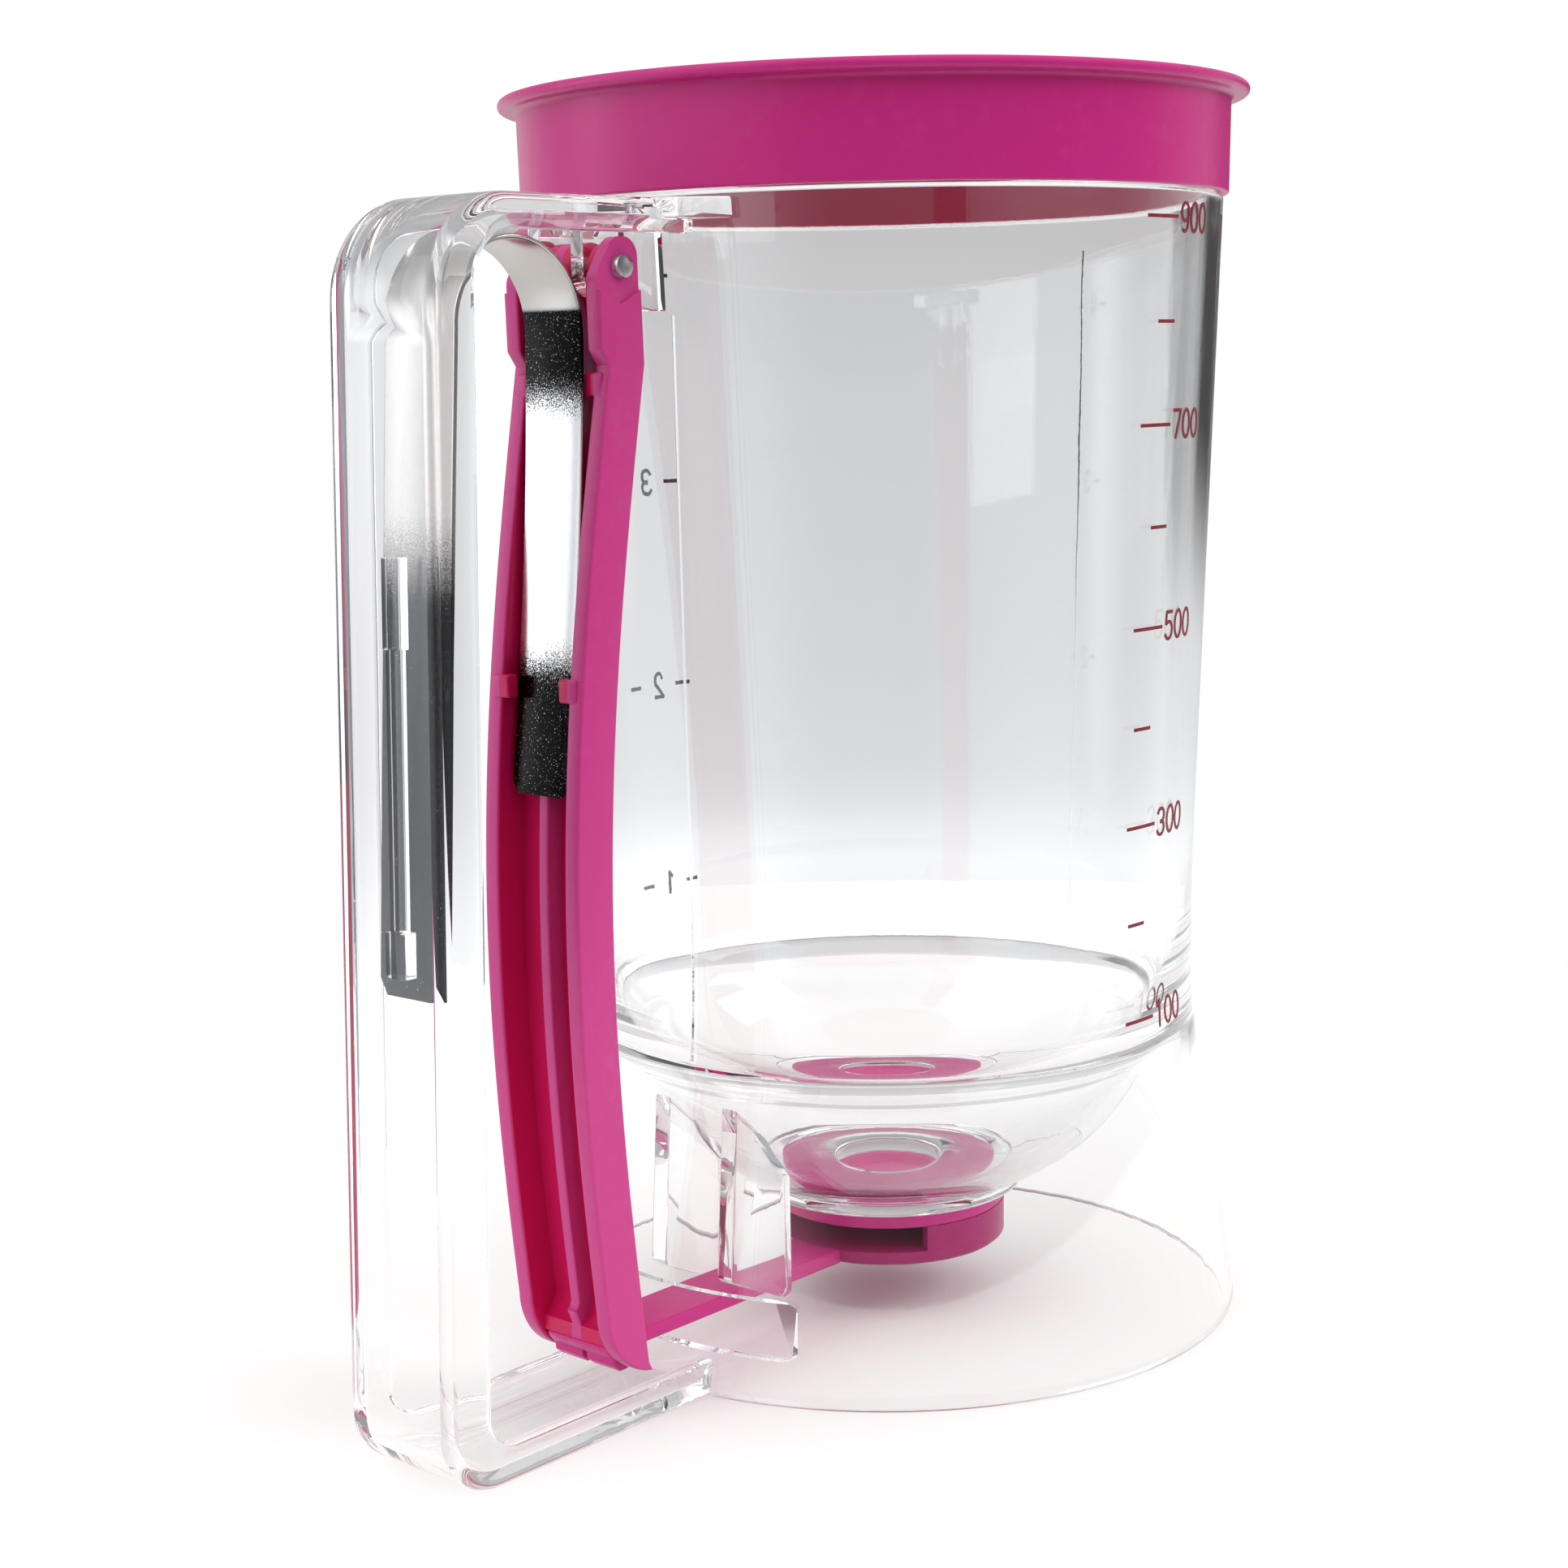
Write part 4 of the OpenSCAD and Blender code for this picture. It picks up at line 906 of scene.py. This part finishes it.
def buildWorld():
    # light comes from above and from a wide window on the left; seen directly the surround is white; through and
    # in the plastic a grey wall stands at the back, the room is dim in front, and a dark upright is at the back right
    world = bpy.data.worlds.new("studio")
    bpy.context.scene.world = world
    world.use_nodes = True
    tree = world.node_tree
    rays = tree.nodes.new("ShaderNodeLightPath").outputs
    direction = tree.nodes.new("ShaderNodeTexCoord").outputs["Generated"]
    rise = part(tree, direction, "Z")

    def towards(angle, lift=0.0):
        # cosine between the ray and a direction given by its compass angle and rise
        turn, lift = math.radians(angle), math.radians(lift)
        aim = (math.cos(turn) * math.cos(lift), math.sin(turn) * math.cos(lift), math.sin(lift))
        node = addNode(tree, "VectorMath", operation="DOT_PRODUCT", Vector=direction)
        node.inputs[1].default_value = aim
        return node.outputs["Value"]

    def soft(value, low, high, start=0.0, end=1.0):
        return spread(tree, value, low, high, start, end, True)

    def add(first, second):
        return maths(tree, "ADD", first, second)

    def times(first, second):
        return maths(tree, "MULTIPLY", first, second)

    window = soft(towards(studio["window"], 8), 0.25, 0.98)
    lighting = add(spread(tree, rise, 0.0, 1.0, 0.1, 1.38), times(window, 0.45))
    # the wall is near white at the table and darkens with height; the places are those of rise from -0.35 to 0.6
    ramp = addNode(tree, "ValToRGB", Fac=spread(tree, rise, -0.35, 0.6))
    ramp.color_ramp.elements[0].color = (1.0, 1.0, 0.99, 1)
    ramp.color_ramp.elements[1].color = (0.45, 0.455, 0.46, 1)
    for place, tone in ((0.146, 0.99), (0.168, 0.91), (0.19, 0.82), (0.21, 0.76), (0.25, 0.715), (0.355, 0.69),
                        (0.4, 0.65), (0.55, 0.55), (0.75, 0.4)):
        ramp.color_ramp.elements.new(place).color = (tone, tone * 1.005, tone * 1.02, 1)
    wall = scaled(tree, ramp.outputs["Color"], add(soft(towards(studio["wall"] + 30), 0.93, 1.0, 0.0, 0.3), 1.0))
    # in front: a pale ceiling, the window, a paler floor and one bright sheen window
    front = add(soft(rise, 0.3, 1.0, 0.0, 0.5), times(window, 1.1))
    front = add(front, soft(rise, -0.26, -0.05, 0.6, 0.18))
    front = add(front, soft(towards(studio["sheen"], 8), 0.94, 0.995, 0.0, 3.2))
    room = mixColour(tree, soft(towards(studio["wall"]), -0.2, 0.5), scaled(tree, (0.97, 1.0, 1.06), front), wall)
    upright = times(soft(towards(studio["upright"]), 0.956, 0.97), soft(rise, -0.13, -0.04))
    room = mixColour(tree, times(upright, soft(rise, 0.16, 0.1)), room, (0.07, 0.067, 0.066))
    bent = maths(tree, "MAXIMUM", rays["Is Transmission Ray"], rays["Is Glossy Ray"])
    indirect = mixColour(tree, bent, scaled(tree, (1.0, 1.0, 1.0), lighting), room)
    setNode(tree, tree.nodes["Background"], Color=mixColour(tree, rays["Is Camera Ray"], indirect, (1.0, 1.0, 1.0)),
            Strength=1.0)


def addLight(name, place, target, size, watts):
    lamp = bpy.data.lights.new(name, "AREA")
    lamp.shape = "RECTANGLE"
    lamp.size, lamp.size_y = size[0] * mm, size[1] * mm
    lamp.energy = watts
    thing = bpy.data.objects.new(name, lamp)
    bpy.context.collection.objects.link(thing)
    thing.location = Vector(place) * mm
    thing.rotation_euler = (Vector(target) - Vector(place)).to_track_quat("-Z", "Y").to_euler()
    thing.visible_camera = False
    thing.visible_glossy = False


def buildCamera():
    lens = bpy.data.cameras.new("camera")
    lens.lens, lens.sensor_width = studio["lens"], studio["sensor"]
    camera = bpy.data.objects.new("camera", lens)
    bpy.context.collection.objects.link(camera)
    tilt, roll = math.radians(studio["tilt"]), math.radians(studio["roll"])
    x, y = studio["aim"]
    forward = Vector((x * math.cos(tilt), y * math.cos(tilt), -math.sin(tilt))).normalized()
    right = Vector((y, -x, 0)).normalized()
    up = right.cross(forward).normalized()
    axes = (right * math.cos(roll) - up * math.sin(roll), right * math.sin(roll) + up * math.cos(roll), -forward)
    camera.matrix_world = Matrix.Translation(Vector(studio["camera"]) * mm) @ Matrix(axes).transposed().to_4x4()
    bpy.context.scene.camera = camera


print("stage: floor, light, camera")
buildFloor()
buildWorld()
addLight("windowLeft", (-700, 100, 420), (0, 0, 90), (500, 600), 1.3)
addLight("windowFront", (400, -700, 500), (20, 0, 100), (700, 500), 4.4)
buildCamera()
bpy.context.scene.view_settings.view_transform = "Standard"
# light is bent and mirrored many times between the plastic walls
cycles = bpy.context.scene.cycles
cycles.max_bounces = cycles.transmission_bounces = cycles.glossy_bounces = 24
cycles.transparent_max_bounces = 48
